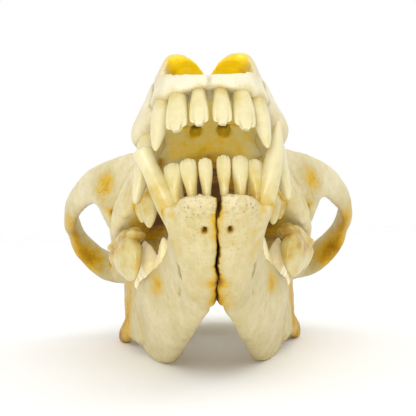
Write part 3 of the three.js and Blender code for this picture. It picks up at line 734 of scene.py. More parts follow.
branch_half_thick = through((-20, 2.8), (-10, 3.8), (10, 3.4), (30, 2.4), (54, 1.4))


def jaw_bar(rings, sides):
    """Sections along Y: a squared oval whose top and foot follow the tooth row and the lower edge."""
    y = np.linspace(JAW_FRONT, JAW_END, rings)[:, None]
    turn = round_ring(sides)
    rise = squared(np.sin(turn), 2.6)
    middle = (jaw_top_x(y) + jaw_foot_x(y)) / 2 + (jaw_top_x(y) - jaw_foot_x(y)) / 2 * rise
    x = middle + jaw_half_thick(y) * squared(np.cos(turn), 2.6)
    z = (jaw_top_z(y) + jaw_foot_z(y)) / 2 + (jaw_top_z(y) - jaw_foot_z(y)) / 2 * rise
    return closed(np.stack([x, y + 0 * turn, z], axis=-1))


def jaw_branch(rings, sides):
    """Level slices up the branch: a flat oval between its front and back edges, leaning outwards."""
    z = np.linspace(BRANCH_FOOT, BRANCH_TOP, rings)[:, None]
    turn = round_ring(sides)
    middle = (branch_front(z) + branch_back(z)) / 2
    y = middle + (branch_back(z) - branch_front(z)) / 2 * squared(np.cos(turn), 2.8)
    plane = BRANCH_ASIDE + BRANCH_SPREAD * (y - BRANCH_START) + BRANCH_LEAN * z
    x = plane + branch_half_thick(z) * squared(np.sin(turn), 2.8)
    return closed(np.stack([x, y, z + 0 * turn], axis=-1))


print("a jaw half is", JAW_END - JAW_FRONT, "mm long in front of its branch")


# %% Joint, hook, chin and swollen roots of the jaw
def round_head(u):
    """Radius of the joint's cross-bar: thick in the middle, less at its ends."""
    return 2.5 + 2.2 * np.sqrt(np.abs(np.sin(np.pi * u)))


def hook_tall(u):
    """Half-height of the hook: it falls off faster and faster towards the tip."""
    return 6 - 3.2 * u * u


def jaw_root(y):
    """A short bar from the tooth row down and inwards, at one place along the row."""
    x = jaw_top_x(y)
    return bar([(x + 0.4, y, -3), (x - 2.4, y + 1, -10)], thins(3.4, 1), thins(3.4, 1), BACKWARDS, 20)


JAW_ROOTS_Y = (38, 50, 56, 65, 72, 84, 95, 109)
HOOK_PATH = [(36.5, 150, -4.5), (40, 166, -3.8), (43, 178, -3.3), (44.4, 185, -2.6)]
CHIN_PATH = [(2.6, 6, -6.5), (2.8, 22, -16), (3.2, 34, -20.6), (3.6, 46.5, -23.4)]
hinge_y, hinge_z = HINGE_IN_JAW[1:]
jaw_head = bar([(x, hinge_y, hinge_z) for x in (23, 33, 43)], round_head, round_head, power=2)
jaw_neck = bar([(39, 168, 6), (38, 176, 14), (36, hinge_y, hinge_z - 1)], thins(4), thins(9, 5))
jaw_hook = bar(HOOK_PATH, thins(4, 1.6), hook_tall)
chewing_hollow = ellipsoid((47.5, 156, 12), (9, 19, 24), (-0.35, 0, -0.14), 40, 56)
lower_canine_root = bar([(15.6, 8, 0), (12.6, 16, -8), (10.5, 26, -15)], thins(4.4, 1), thins(5.4, 1))
chin_join = bar(CHIN_PATH, thins(3.8), thins(4.2))
jaw_surfaces = [jaw_bar(180, 96), jaw_branch(90, 72), jaw_head, jaw_neck, jaw_hook, chin_join]
jaw_surfaces += [lower_canine_root, *[jaw_root(y) for y in JAW_ROOTS_Y]]
print("a jaw half has", len(jaw_surfaces), "overlapping surfaces")

# %% [markdown]
# ## Both jaw halves
# The halves are alike but not equal, so the small unevenness is drawn anew for each. The seam at the chin
# swings a little from side to side, in short jags, and its rough edges leave it open here and there. Every
# point that lies beyond the seam is brought back to it, so that the halves can't cross.

# %% Chin seam and nerve holes
JAW_HOLES = [
    ((4.2, 6.4, -10.8), (4.4, 7.2, -11.6), 0.9, 1.8),
    ((13.6, 28, -16), (13.4, 34, -19), 0.9, 1.6),
    ((14.9, 45, -20), (14.9, 50, -21), 0.9, 1.5),
    ((7.5, 12, -13), (7.5, 12.6, -13.6), 0.5, 0.8),
    ((10.5, 10, -8), (10.5, 10.4, -8.6), 0.5, 0.8),
]
crack_half = through(
    (-3, 0.6), (2, 0.5), (4.5, 0.1), (8, 0.24), (10, 0.12), (14, 0.34), (24, 0.4), (27, 0.04), (31, 0.06),
    (37, 0.14), (46, 0.06), (70, 0.1),
)
crack_dark = through(
    (-3, 1), (2, 0.9), (4, 0.4), (9, 0.5), (11, 1), (25, 1), (27.5, 0.2), (33, 0.6), (46, 0.3), (62, 0)
)
CRACK_WAVE, CRACK_PACE, CRACK_JAG = 0.35, 0.45, 0.3
CRACK_PLACES = np.arange(-4, 70, 1.3)
CRACK_TURNS = dice.uniform(-CRACK_JAG, CRACK_JAG, len(CRACK_PLACES))


def crack_swing(y):
    """How far the chin seam swings aside at each place along it: a slow wave and short seeded jags."""
    return CRACK_WAVE * np.sin(CRACK_PACE * y + 2) + np.interp(y, CRACK_PLACES, CRACK_TURNS)


print("the chin seam has", len(CRACK_PLACES), "jags")

# %% Fuse the jaw halves
ROUGH_JAW_CELL, JAW_CELL = 0.8, 0.6
DARK_BESIDE_SEAM, STAIN_BESIDE_SEAM, CHIN_END = 0.26, 1.5, 50


def jaw_half(side):
    """One half under the skull: fused, hollowed for the muscle, roughened, cut by the jagged chin seam."""
    shape = carved(fused(jaw_surfaces, ROUGH_JAW_CELL), [chewing_hollow])
    points, faces = relaxed(fused([relaxed(fused([shape], ROUGH_JAW_CELL), 3)], JAW_CELL), 2)
    outward = normals_of(points, faces)
    rim = np.exp(-(((points[:, 1] + 1) / 4) ** 2))
    push = 0.2 * swell(points, 24, 8, 24) + 0.08 * swell(points, 6, 2.5, 24)
    push += 0.4 * swell(points, 3.2, 1.6, 32) * rim
    mark = np.zeros(len(points))
    # Each nerve hole is also painted dark: painted shade for its depth.
    for start, end, radius, depth in JAW_HOLES:
        act = pit(points, start, end, radius)
        mark = np.maximum(mark, act)
        push = push - depth * act
    points = points + push[:, None] * outward
    y = points[:, 1]
    seam = crack_half(y) + side * crack_swing(y) + 0.14 * np.abs(swell(points, 4, 1.6, 16))
    beside = np.maximum(points[:, 0] - seam, 0)
    mark = np.maximum(mark, crack_dark(y) * np.exp(-((beside / DARK_BESIDE_SEAM) ** 2)))
    margin = np.exp(-((beside / STAIN_BESIDE_SEAM) ** 2)) * (y < CHIN_END)
    points[:, 0] = side * np.maximum(points[:, 0], seam)
    faces = faces if side > 0 else faces[:, ::-1]
    return carried(points, jaw_to_skull), faces, mark, margin


jaws = {"left": jaw_half(1), "right": jaw_half(-1)}
for side, (points, faces, *_) in jaws.items():
    lowest = carried(points, to_table)[:, 2].min() / MM
    print(side, "jaw half:", len(faces), "quads, lowest at", lowest, "mm")

# %% [markdown]
# ## Front teeth
# A wolf has forty-two teeth. In front stand small incisors whose edge has three lobes, and long curved
# canines. Both are ovals carried from root to tip, and the lobes come from drawing back the tip on either
# side of two notches. The height of each point above the gum is kept, because enamel is paler up there.


# %% Incisors and canines
def unit(vector):
    """The vector with length one."""
    return vector / np.linalg.norm(vector)


def with_crown(grid, crown):
    """A closed tooth surface and, for each point, how far it stands above the gum in millimetres."""
    points, faces = closed(grid)
    return points, faces, np.append(crown.ravel(), crown[[0, -1]].mean(axis=1))


incisor_wide = through(
    (0, 0.62), (0.15, 0.7), (0.26, 0.78), (0.45, 0.88), (0.62, 0.98), (0.74, 1), (0.88, 0.97), (0.96, 0.88),
    (1, 0.66),
)
peg_wide = through((0, 0.45), (0.26, 0.55), (0.45, 0.68), (0.68, 0.95), (0.82, 1), (0.93, 0.95), (1, 0.7))
incisor_deep = through((0, 0.75), (0.26, 1), (0.5, 0.94), (0.75, 0.68), (0.92, 0.42), (1, 0.12))
fang_wide = through((0, 0.7), (0.26, 0.95), (0.4, 1), (0.7, 0.76), (0.9, 0.44), (0.98, 0.2), (1, 0.06))
ROOT_SHARE = 0.35
ROOT_BACK = np.array([0, 3.0, 0])
NOTCH_PLACE, NOTCH_WIDTH = 0.6, 0.12
LOBE_SHORT, NOTCH_SHORT, NOTCH_THIN = 0.08, 0.05, 0.4
INCISOR_BOW = 2.6


def incisor(neck, tip, wide, thick, facing, width=incisor_wide, lobes=1.0):
    """An oval from below the neck to the tip, bowed to the front. Two notches part off the side lobes."""
    neck, tip = np.array(neck, float), np.array(tip, float)
    root = neck + ROOT_SHARE * (neck - tip) + ROOT_BACK
    u = np.linspace(0, 1, 80)[:, None]
    turn = round_ring(72)
    along = unit(tip - root)
    ahead = np.array([math.sin(facing), -math.cos(facing), 0.0])
    ahead = unit(ahead - (ahead @ along) * along)
    across = np.cross(ahead, along)
    aside = squared(np.cos(turn), 2.3)
    notch = np.exp(-(((np.abs(aside) - NOTCH_PLACE) / NOTCH_WIDTH) ** 2))
    short = LOBE_SHORT * np.clip((np.abs(aside) - 0.5) / 0.2, 0, 1) + NOTCH_SHORT * notch
    reach = u - lobes * short * u**5
    bow = (INCISOR_BOW * u * (1 - u))[..., None] * ahead
    middle = root + reach[..., None] * (tip - root) + bow
    side = wide / 2 * width(u) * aside
    thin = 1 - NOTCH_THIN * lobes * notch * u**6
    deep = thick / 2 * incisor_deep(u) * squared(np.sin(turn), 2.2) * thin
    crown = (reach - ROOT_SHARE / (1 + ROOT_SHARE)) * np.linalg.norm(tip - root)
    return with_crown(middle + side[..., None] * across + deep[..., None] * ahead, crown)


CANINE_NECK = 0.4
CANINE_RINGS, CANINE_SIDES = 80, 48


def canine(stations, long, wide, blunt=1.0):
    """An oval carried along a bent path: thickest at the neck, tapering to the tip."""
    tip = [(0.93, 0.38 * blunt), (0.985, 0.2 * blunt), (1, 0.06 * blunt)]
    taper = through((0, 0.8), (CANINE_NECK, 1), (0.75, 0.68), *tip)
    points, faces = bar(
        stations,
        lambda u: wide / 2 * taper(u),
        lambda u: long / 2 * taper(u),
        up=(0, 1, 0.25),
        rings=CANINE_RINGS,
        sides=CANINE_SIDES,
        power=2.15,
    )
    length = np.linalg.norm(np.diff(np.array(stations, float), axis=0), axis=1).sum()
    crown = np.repeat((np.linspace(0, 1, CANINE_RINGS) - CANINE_NECK) * length, CANINE_SIDES)
    return points, faces, np.append(crown, crown[[0, -1]])


print("a canine of", len(canine([(0, 0, 0), (0, 0, 9)], 5, 4)[1]), "faces is ready")

# %% [markdown]
# ## Cheek teeth
# Behind the canines come blades for shearing and broad crowns for crushing. A cheek tooth is a row of
# cones, one for each cusp, fused as the bone was, so that soft valleys join its cusps.

# %% Cusps and cheek teeth
TOOTH_CELL = 0.42
CUSP_FOOT = [(0, 0.6), (0.2, 0.74), (0.32, 0.9)]
cusp_long = through(*CUSP_FOOT, (0.44, 1), (0.6, 0.9), (0.8, 0.68), (0.93, 0.42), (1, 0.14))
cusp_wide = through(*CUSP_FOOT, (0.42, 1), (0.6, 0.84), (0.8, 0.54), (0.93, 0.3), (1, 0.1))


def cusp(root, tip, long, wide, back, out):
    """An oval cone from root to tip: waisted at the gum, swollen above it, flattened towards a blade."""
    u = np.linspace(0, 1, 40)[:, None]
    turn = round_ring(40)
    middle = root + u[..., None] * (tip - root)
    lengthwise = (long / 2 * cusp_long(u) * squared(np.cos(turn), 2.6))[..., None] * back
    sidewise = (wide / 2 * cusp_wide(u) * squared(np.sin(turn), 2.6))[..., None] * out
    return closed(middle + lengthwise + sidewise)


def cheek_tooth(neck, cusps, way, turn, lean=0.0, sunk=6.0, root_lean=0.0):
    """A crown fused from cones, one for each cusp, and its sunk root.

    A cusp is its place backwards and outwards, its height, length and width, and its tip's sweep backwards.
    """
    back = np.array([math.sin(turn), math.cos(turn), 0.0])
    out = np.array([math.cos(turn), -math.sin(turn), 0.0])
    up = np.array([0, 0, float(way)])
    cones = []
    for along, aside, height, long, wide, *sweep in cusps:
        foot = np.array(neck, float) + along * back + aside * out
        tip = foot + height * (up - lean * out) + sum(sweep) * back
        root = foot - sunk * (up + root_lean * out)
        cones.append(cusp(root, tip, long, wide, back, out))
    points, faces = relaxed(fused(cones, TOOTH_CELL), 2)
    return points, faces, way * (points[:, 2] - neck[2])


print("a cheek tooth of", len(cheek_tooth((0, 0, 0), [(0, 0, 5, 6, 5)], 1, 0)[1]), "faces is ready")

# %% [markdown]
# ## Upper and lower rows
# Sizes of the species give the lengths: the upper shearing tooth is about 26 mm long and the lower one
# 29 mm. One lower canine of this wolf is worn to a blunt stump, and the lower incisors are worn flat. The
# roots of the lower cheek teeth are short and lean inwards, to stay inside the thin jaw.

# %% Cheek teeth of both rows
# Upper: place along the row, inset from the wall, drop below it, turn, lean, cusps.
UPPER_ROW = [
    (43.5, 3.6, 0, 0.05, 0.0, [(0, 0, 6, 7, 5)]),
    (53, 3.4, 0.5, 0.25, 0.0, [(-1, 0, 9.5, 9.5, 5.4), (3.5, 0, 5, 7, 5)]),
    (66.5, 3.8, 1, 0.5, 0.05, [(-1.5, 0, 12, 12, 5.8), (4.8, 0, 7.5, 8, 5.6), (-6.5, 0, 3, 5, 4.6)]),
    (
        88.5, 4.4, 8.5, 0.42, 0.16,
        [
            (0.5, 0.2, 15.4, 22, 9, -5), (6, 0.6, 9, 14, 8), (8, 0.4, -0.5, 8.5, 8.5),
            (-7, -2, 0.5, 8.5, 8.5),
        ],
    ),
    (
        106, 6, 1, 0.05, 0.0,
        [(-3.6, 1, 10, 8.5, 8), (4, 0.4, 9, 8, 8), (0, -8.5, 5.5, 11, 10), (1.5, -13.5, 3.5, 10, 7)],
    ),
    (118, 8.5, 0.5, -0.25, 0.0, [(-1.6, 2, 5, 5, 6), (2, 1.6, 4.4, 5, 6), (0, -4, 3.5, 7, 8)]),
]
# Lower: place along the row, turn, cusps.
LOWER_ROW = [
    (29, 0.1, [(0, 0, 5, 5, 4)]),
    (39, 0.15, [(-1, 0, 8.5, 8, 5), (3, 0, 4.5, 6, 4.6)]),
    (52.5, 0.25, [(-1, 0, 9.5, 9, 5.4), (4, 0, 5, 7, 5)]),
    (68, 0.3, [(-1.5, 0, 11, 10, 6), (4.5, 0, 6.5, 7, 5.8)]),
    (89, 0.2, [(-7.5, 0.4, 13, 12, 8.5), (0.5, 0.4, 17, 13, 9), (9, 0.6, 6.5, 9, 8), (9, -2, 5, 8, 5)]),
    (110, 0.14, [(-2.4, 0, 5.5, 6.5, 7.5), (2.6, 0, 4.2, 6, 7)]),
    (120, 0.1, [(0, 0, 3.5, 5, 4.8)]),
]
JAW_SUNK, JAW_LEAN = 4.5, 0.45
upper_cheek_teeth = [
    cheek_tooth((socket_half(y) - inset, y, socket_z(y) - drop), cusps, -1, turn, lean)
    for y, inset, drop, turn, lean, cusps in UPPER_ROW
]
lower_cheek_teeth = [
    cheek_tooth((jaw_top_x(y), y, jaw_top_z(y)), cusps, 1, turn, 0, JAW_SUNK, JAW_LEAN)
    for y, turn, cusps in LOWER_ROW
]
print(len(upper_cheek_teeth), "upper and", len(lower_cheek_teeth), "lower cheek teeth on each side")

# %% Incisors, canines and full rows
UPPER_CANINE = [(18.5, 42, 15), (20.5, 31, 4), (23.4, 26.5, -9), (27, 28, -24.5)]
LOWER_CANINE = [(8.5, 28, -13), (14.6, 13, -3), (19.6, 5, 12), (22.4, 5.4, 28)]
WORN_CANINE = [(8.5, 28, -13), (14.6, 13, -3), (21.2, 6.4, 9), (25.4, 5, 18.5)]

upper_side = [
    incisor((3.7, 0.2, 3), (3.9, -2.6, -11.4), 6.6, 6, 0.05),
    incisor((10.3, 1.6, 3.4), (11.5, -0.8, -12.5), 7.8, 6.6, 0.35),
    incisor((15.3, 6.2, 3.4), (18.6, 3.4, -17), 7.4, 6.4, 0.8, fang_wide, 0),
    canine(UPPER_CANINE, 14.5, 9.5),
    *upper_cheek_teeth,
]
LOWER_INCISORS = {
    "left": [
        ((2.6, 1.6, -1), (2.5, -1.6, 12.4), 4.8, 5.2, 0.0),
        ((7.6, 2.6, -0.5), (8.2, -0.2, 12.8), 5.8, 5.6, 0.25),
        ((12.4, 4.8, 0), (13.3, 2.2, 12.4), 6.2, 6, 0.5),
    ],
    "right": [
        ((3.4, 1.6, -1), (3.7, -1.4, 11.6), 4.8, 5.2, -0.1),
        ((8, 2.6, -0.5), (9.6, -0.2, 12), 5.8, 5.6, 0.1),
        ((12.8, 4.8, 0), (15, 2.4, 11.6), 6.6, 6, 0.45),
    ],
}
WORN_LOBES, WORN_BLUNT = 0.3, 2.2
fangs = {"left": canine(LOWER_CANINE, 12.5, 8.5), "right": canine(WORN_CANINE, 12.5, 9, WORN_BLUNT)}
lower = {
    side: [*[incisor(*sizes, peg_wide, WORN_LOBES) for sizes in front], fangs[side], *lower_cheek_teeth]
    for side, front in LOWER_INCISORS.items()
}


def other_side(tooth):
    """A tooth of the other half, with the same heights above the gum."""
    return *mirrored(tooth[:2]), tooth[2]


def hung(tooth):
    """A tooth of the jaw in its place under the skull."""
    return carried(tooth[0], jaw_to_skull), *tooth[1:]


teeth = {
    "upper_left": upper_side,
    "upper_right": [other_side(tooth) for tooth in upper_side],
    "lower_left": [hung(tooth) for tooth in lower["left"]],
    "lower_right": [hung(other_side(tooth)) for tooth in lower["right"]],
}
print({name: len(row) for name, row in teeth.items()}, "teeth")

# %% [markdown]
# ## Stains and painted shade on the bone
# Bone that was boiled and bleached stays pale on its ridges, while hollows, seams and the rims of the tooth
# sockets keep yellow and brown. Here the yellow in hollows and at the socket rims is partly painted shade
# as well.
# The hollowness of each point is measured from how far its smoothed neighbours stand above it, and a few
# named places are listed with their own strength.


# %% Hollowness, socket rims and named stains, shade and light
def hollowness(points, faces, rounds):
    """How deep each point lies under the smoothed surface round it, in millimetres, positive in hollows."""
    edges = edges_of(faces)
    outward = normals_of(points, faces)
    smooth = points
    for _ in range(rounds):
        smooth = neighbour_mean(smooth, edges)
    return np.einsum("ij,ij->i", smooth - points, outward)


gum_points = np.concatenate([
    points[np.abs(crown) < 1.0][::7] for row in teeth.values() for points, faces, crown in row
])


def socket_rim(points, width):
    """Nearness to the gum line of any tooth, 0 to 1: a bell over the least distance."""
    near = np.zeros(len(points))
    low, high = gum_points.min(axis=0) - 6, gum_points.max(axis=0) + 6
    inside = np.flatnonzero(((points > low) & (points < high)).all(axis=1))
    for part in np.array_split(inside, max(1, len(inside) // 2000)):
        gap = points[part] @ gum_points.T
        square = (points[part] ** 2).sum(axis=1)[:, None] - 2 * gap + (gum_points**2).sum(axis=1)
        near[part] = np.exp(-np.maximum(square.min(axis=1), 0) / width**2)
    return near


def at_named_places(points, places):
    """Strength of the named places at each point: bells round their centres, on both halves."""
    beside = folded(points)
    total = np.zeros(len(points))
    for centre, radii, strength in places:
        total += strength * np.exp(-((((beside - np.array(centre)) / np.array(radii)) ** 2).sum(axis=1)))
    return total


print(len(gum_points), "points stand for the gum line")

# %% Places of stains, painted shade and light, and pores
# Each: centre, radii, strength. Some are real stains and many are painted shade; a negative strength makes
# the bone paler.
CRANIUM_STAINS_SHADE_AND_LIGHT = [
    # Painted light: the front and sides of the muzzle face the lamps.
    ((0, 0, 7), (22, 9, 7), -0.34),
    ((20, 15, 12), (9, 14, 9), -0.18),
    # A real orange stain on the porous front of the cheekbone.
    ((44, 103, 21), (9, 8, 9), 0.5),
    # The rest are painted shade: on and under the arches, on the palate, beside the cheek teeth, in the
    # throat and at the back of the skull.
    ((67, 142, 24), (7, 16, 8), 0.14),
    ((65, 162, 21), (9, 26, 9), 0.42),
    ((62, 186, 18), (12, 16, 9), 0.36),
    ((0, 28, 3), (16, 26, 5), 0.24),
    ((0, 75, 2), (24, 26, 8), 0.75),
    ((24, 88, -4), (9, 18, 7), 0.7),
    ((40, 102, 2), (8, 10, 10), 0.3),
    ((0, 140, 20), (18, 25, 14), 0.3),
    ((30, 200, 15), (20, 20, 15), 0.25),
    ((0, 245, 30), (22, 12, 18), 0.25),
]
CRANIUM_PORES = [
    ((45, 104, 20), (8, 7, 8), 0.7),
    ((64, 175, 20), (12, 18, 8), 0.5),
    ((0, 0, 7), (20, 9, 5), 0.15),
]
# In the jaw, the patches on the muscle branch and the hook are painted shade, those along the chin seam are
# real stains, and a negative strength makes the bone paler.
JAW_STAINS_AND_SHADE = [
    ((40, 150, 7), (7, 16, 18), 0.42),
    ((44, 176, -4), (8, 16, 10), 0.4),
    ((22.8, 68, -11), (4.5, 7, 5), 0.34),
    ((0, 1, -4), (18, 5, 5), -0.1),
    ((0, 29, -23), (3.5, 4, 4), 0.35),
    ((0, 43, -27), (4, 8, 6), 0.35),
    ((20, 80, -22), (12, 25, 12), -0.1),
]
JAW_PORES = [
    ((9, 0, -6), (8, 5, 4), 0.8),
    ((0, 43, -27), (4, 9, 6), 0.6),
    ((8, 12, -14), (8, 10, 8), 0.25),
]
print(len(CRANIUM_STAINS_SHADE_AND_LIGHT) + len(JAW_STAINS_AND_SHADE), "stains on each side")

# %% [markdown]
# ## Light through thin bone
# The roof of the nose and the palate are as thin as card, and lamplight shines through them in yellow.
# Following every ray through the bone would be slow and grainy, so the places where it is thin are found
# from the same curves that shaped the nose, and a little light of their own is stored for them.

# %% Glow of the nose, the palate and the wall above the cheek teeth
SLIT_GLOW, PALATE_GLOW = 0.34, 0.3
# The wall above the cheek teeth is not thin: its faint glow is painted light that lifts the shade of that
# hollow.
SOCKET_WALL_GLOW = [((34, 76, 0), (9, 18, 10), 0.09)]


def faded(value, start, span):
    """From 0 at the start to 1 a span further on, in a straight line."""
    return np.clip((value - start) / span, 0, 1)


def bone_glow(points, outward):
    """Painted light through the roof of the nose, the palate and its slits, a mask for each with soft
    edges, and painted light that lifts the shade on the wall above the cheek teeth.
    """
    x, y, z = points.T
    low, high, half = nose_floor(y), nose_roof(y), nose_half(y)
    level = (z - low) / (high - low)
    ways = np.stack([x / half, 0 * x, 2 * level - 1], axis=1)
    facing = (outward * ways).sum(axis=1) / np.maximum(np.linalg.norm(ways, axis=1), 0.1)
    nose = (np.abs(x) < half + 0.6) & (z < high + 1.8) & (level > 0.15) & (y > 4) & (y < 60)
    nose = nose * faded(-facing, -0.85, 0.2) * faded(level, 0.1, 0.4) * faded(-y, -60, 20)
    nose = nose * np.clip((1.02 - np.abs(x) / half) / 0.22, 0.2, 1)
    slit = ((np.abs(x) - 5) / 3.6) ** 2 + ((y - 29.5) / 7) ** 2 + ((z - 3) / 8) ** 2 < 1
    slit = slit * (z > 4) * faded(-y, -30, 4)
    palate = (z > 0) & (z < 8) & (y > 8) & (level < 0.1)
    palate = palate * faded(-np.abs(x), -19, 5) * faded(-outward[:, 2], 0, 0.4) * faded(-y, -47, 4)
    glow = np.maximum(nose, np.maximum(SLIT_GLOW * slit, PALATE_GLOW * palate))
    return np.maximum(glow, at_named_places(points, SOCKET_WALL_GLOW))


print("light comes through the nose up to", nose_roof(NOSE_END), "mm above the sockets")

# %% [markdown]
# ## Staining, painted shade, marks and pores of each bone
# All these causes are added up to a few numbers for each point, which the mesh will store: how yellow from
# staining and painted shade, how dark, how porous and how much painted glow it has. The finish then only
# has to turn numbers into colours.

# %% Numbers for each bone
FINE_HOLLOW, BROAD_HOLLOW = 0.12, 1.6
RIM_WIDTH = 1.3
SHINE_STAIN = 0.42
# The whole jaw is made a little darker than the cranium: partly its own staining, partly painted shade, as
# it faces down, away from the lamps.
JAW_STAIN_AND_SHADE, SEAM_STAIN = 0.18, 0.2


def bone_marks(points, faces, seam, named):
    """Staining and painted shade, and dark marks, of one bone, from hollowness, socket rims, seams and
    named places.
    """
    fine = np.clip(hollowness(points, faces, 4) / FINE_HOLLOW, 0, 1)
    broad = np.clip(hollowness(points, faces, 60) / BROAD_HOLLOW, -0.6, 1)
    rim = socket_rim(points, RIM_WIDTH)
    # Yellow in hollows and at the socket rims is partly the bone's own staining and partly painted shade.
    stain_and_shade = 0.14 * fine + 0.36 * np.maximum(broad, 0) + 0.35 * rim + 0.35 * seam + named
    return {
        "stain_and_shade": np.clip(stain_and_shade, -0.3, 1),
        # Dark in fine creases deep inside hollows is painted shade, added to the dark of seams and holes.
        "mark": np.clip(0.9 * seam + 0.35 * fine * (broad > 0.5), 0, 1),
    }


named_stain_and_shade = at_named_places(cranium_points, CRANIUM_STAINS_SHADE_AND_LIGHT)
cranium_marks = bone_marks(cranium_points, cranium_faces, cranium_seams_and_hole_shade, named_stain_and_shade)
cranium_marks["glow"] = bone_glow(cranium_points, normals_of(cranium_points, cranium_faces))
shine = np.minimum(1.5 * cranium_marks["glow"], 1)
cranium_marks["stain_and_shade"] = (1 - shine) * cranium_marks["stain_and_shade"] + SHINE_STAIN * shine
cranium_marks["mark"][in_nose] = 0
cranium_marks["pores"] = at_named_places(cranium_points, CRANIUM_PORES)
jaw_marks = {}
for side, (points, faces, mark, margin) in jaws.items():
    in_jaw = carried(points, jaw_to_skull.inverted())
    named_stain_and_shade = JAW_STAIN_AND_SHADE + SEAM_STAIN * margin + at_named_places(in_jaw, JAW_STAINS_AND_SHADE)
    jaw_marks[side] = bone_marks(points, faces, mark, named_stain_and_shade)
    jaw_marks[side]["pores"] = at_named_places(in_jaw, JAW_PORES)
print({name: round(values.mean(), 3) for name, values in cranium_marks.items()}, "on the cranium")

# %% [markdown]
# ## Colours and nodes
# A finish is a tree of nodes. Writing out every node and link takes many lines that say little, so a small
# helper adds a node, sets it and links it in one call. Colours are chosen as they should look, and are
# divided by the light of this studio, which is a little brighter than one.

# %% Colours and a short way to write nodes
STUDIO_LIGHT = 1.23


def linear(*levels):
    """The linear colour of a surface that looks like these 0 to 255 levels in the light of this studio."""
    share = np.array(levels) / 255
    light = np.where(share < 0.04045, share / 12.92, ((share + 0.055) / 1.055) ** 2.4)
    return (*light / STUDIO_LIGHT, 1.0)


class Nodes:
    """A short way to write a node tree: each call adds a node, sets its inputs and links given sockets."""

    def __init__(self, name):
        self.material = bpy.data.materials.new(name)
        self.material.use_nodes = True
        self.tree = self.material.node_tree
        self.shader = self.tree.nodes["Principled BSDF"]

    def give(self, socket, value):
        """Links a socket to a socket, or sets it to a plain value."""
        if isinstance(value, bpy.types.NodeSocket):
            self.tree.links.new(value, socket)
        else:
            socket.default_value = value

    def set(self, node, **inputs):
        """Gives each named input of a node its value. An underscore stands for a space."""
        for name, value in inputs.items():
            self.give(node.inputs[name.replace("_", " ")], value)
        return node

    def add(self, kind, **inputs):
        """A new node of a kind, with its inputs."""
        return self.set(self.tree.nodes.new("ShaderNode" + kind), **inputs)

    def sums(self, operation, first, second, clamp=False):
        """One sum of two numbers, held between 0 and 1 where it is clamped."""
        node = self.add("Math")
        node.operation = operation
        node.use_clamp = clamp
        for socket, value in zip(node.inputs, (first, second)):
            self.give(socket, value)
        return node.outputs[0]

    def ramp(self, factor, *stops):
        """A colour from a factor, through stops that are a place and a colour."""
        node = self.add("ValToRGB", Fac=factor)
        band = node.color_ramp
        while len(band.elements) < len(stops):
            band.elements.new(0.5)
        for element, (place, colour) in zip(band.elements, stops):
            element.position = place
            element.color = colour
        return node.outputs["Color"]

    def stored(self, name):
        """A number that the mesh stores for each point."""
        node = self.add("Attribute")
        node.attribute_name = name
        return node.outputs["Fac"]

    def noise(self, scale, detail=4.0, roughness=0.55, stretch=None):
        """Noise over the object's own coordinates, stretched where asked, 0 to 1."""
        where = self.add("TexCoord").outputs["Object"]
        if stretch:
            where = self.add("Mapping", Vector=where, Scale=stretch).outputs["Vector"]
        node = self.add("TexNoise", Vector=where, Scale=scale, Detail=detail, Roughness=roughness)
        return node.outputs["Fac"]

    def scaled(self, share, number):
        """A number times a share."""
        return self.sums("MULTIPLY", number, share)

    def swing(self, share, *noise):
        """Noise that swings about zero, times a share."""
        return self.scaled(share, self.sums("SUBTRACT", self.noise(*noise), 0.5))


print("white paper gives", linear(255, 255, 255)[0])

# %% [markdown]
# ## Bone
# Bone is a little translucent and softly glossy, with pores finer than any mesh, so pores and grain are
# bump. Its colour runs from ivory through gold to brown with the staining and painted shade stored in the
# mesh, and the stored glow is painted light, strong in the thin places and faint above the cheek teeth.

# %% Bone
IVORY = linear(247, 239, 208)
CREAM = linear(233, 219, 174)
SAND = linear(217, 201, 146)
GOLD = linear(224, 180, 40)
AMBER = linear(184, 132, 0)
UMBER = linear(112, 72, 28)
# Colour of pores and seams, and of the painted shade in holes and creases.
DARK_MARK_AND_SHADE = linear(84, 52, 22)
LEMON = linear(238, 206, 10)


def bone_tone(n):
    """The colour of staining and painted shade: the stored value plus clouds, mottling and lengthwise
    grain, through a ramp.
    """
    drift = n.sums("ADD", n.swing(0.45, 55, 5), n.swing(0.34, 260, 4, 0.6))
    drift = n.sums("ADD", drift, n.swing(0.3, 420, 4, 0.6, (1, 0.12, 0.5)))
    tone = n.sums("ADD", n.stored("stain_and_shade"), n.sums("ADD", drift, 0.22), True)
    stops = [(0.0, IVORY), (0.25, CREAM), (0.45, SAND), (0.66, GOLD), (0.86, AMBER), (1.0, UMBER)]
    return n.ramp(tone, *stops)


def bone_pores(n):
    """Where a pore opens, 0 or 1, and how dark it is: cells whose middle lies within a wandering reach."""
    cells = n.add("TexVoronoi", Vector=n.add("TexCoord").outputs["Object"], Scale=640.0)
    porous = n.stored("pores")
    reach = n.sums("ADD", n.scaled(0.3, n.noise(90, 2)), n.scaled(0.14, porous))
    hole = n.sums("LESS_THAN", cells.outputs["Distance"], reach)
    return hole, n.sums("MULTIPLY", hole, n.sums("ADD", n.scaled(0.5, porous), 0.14))


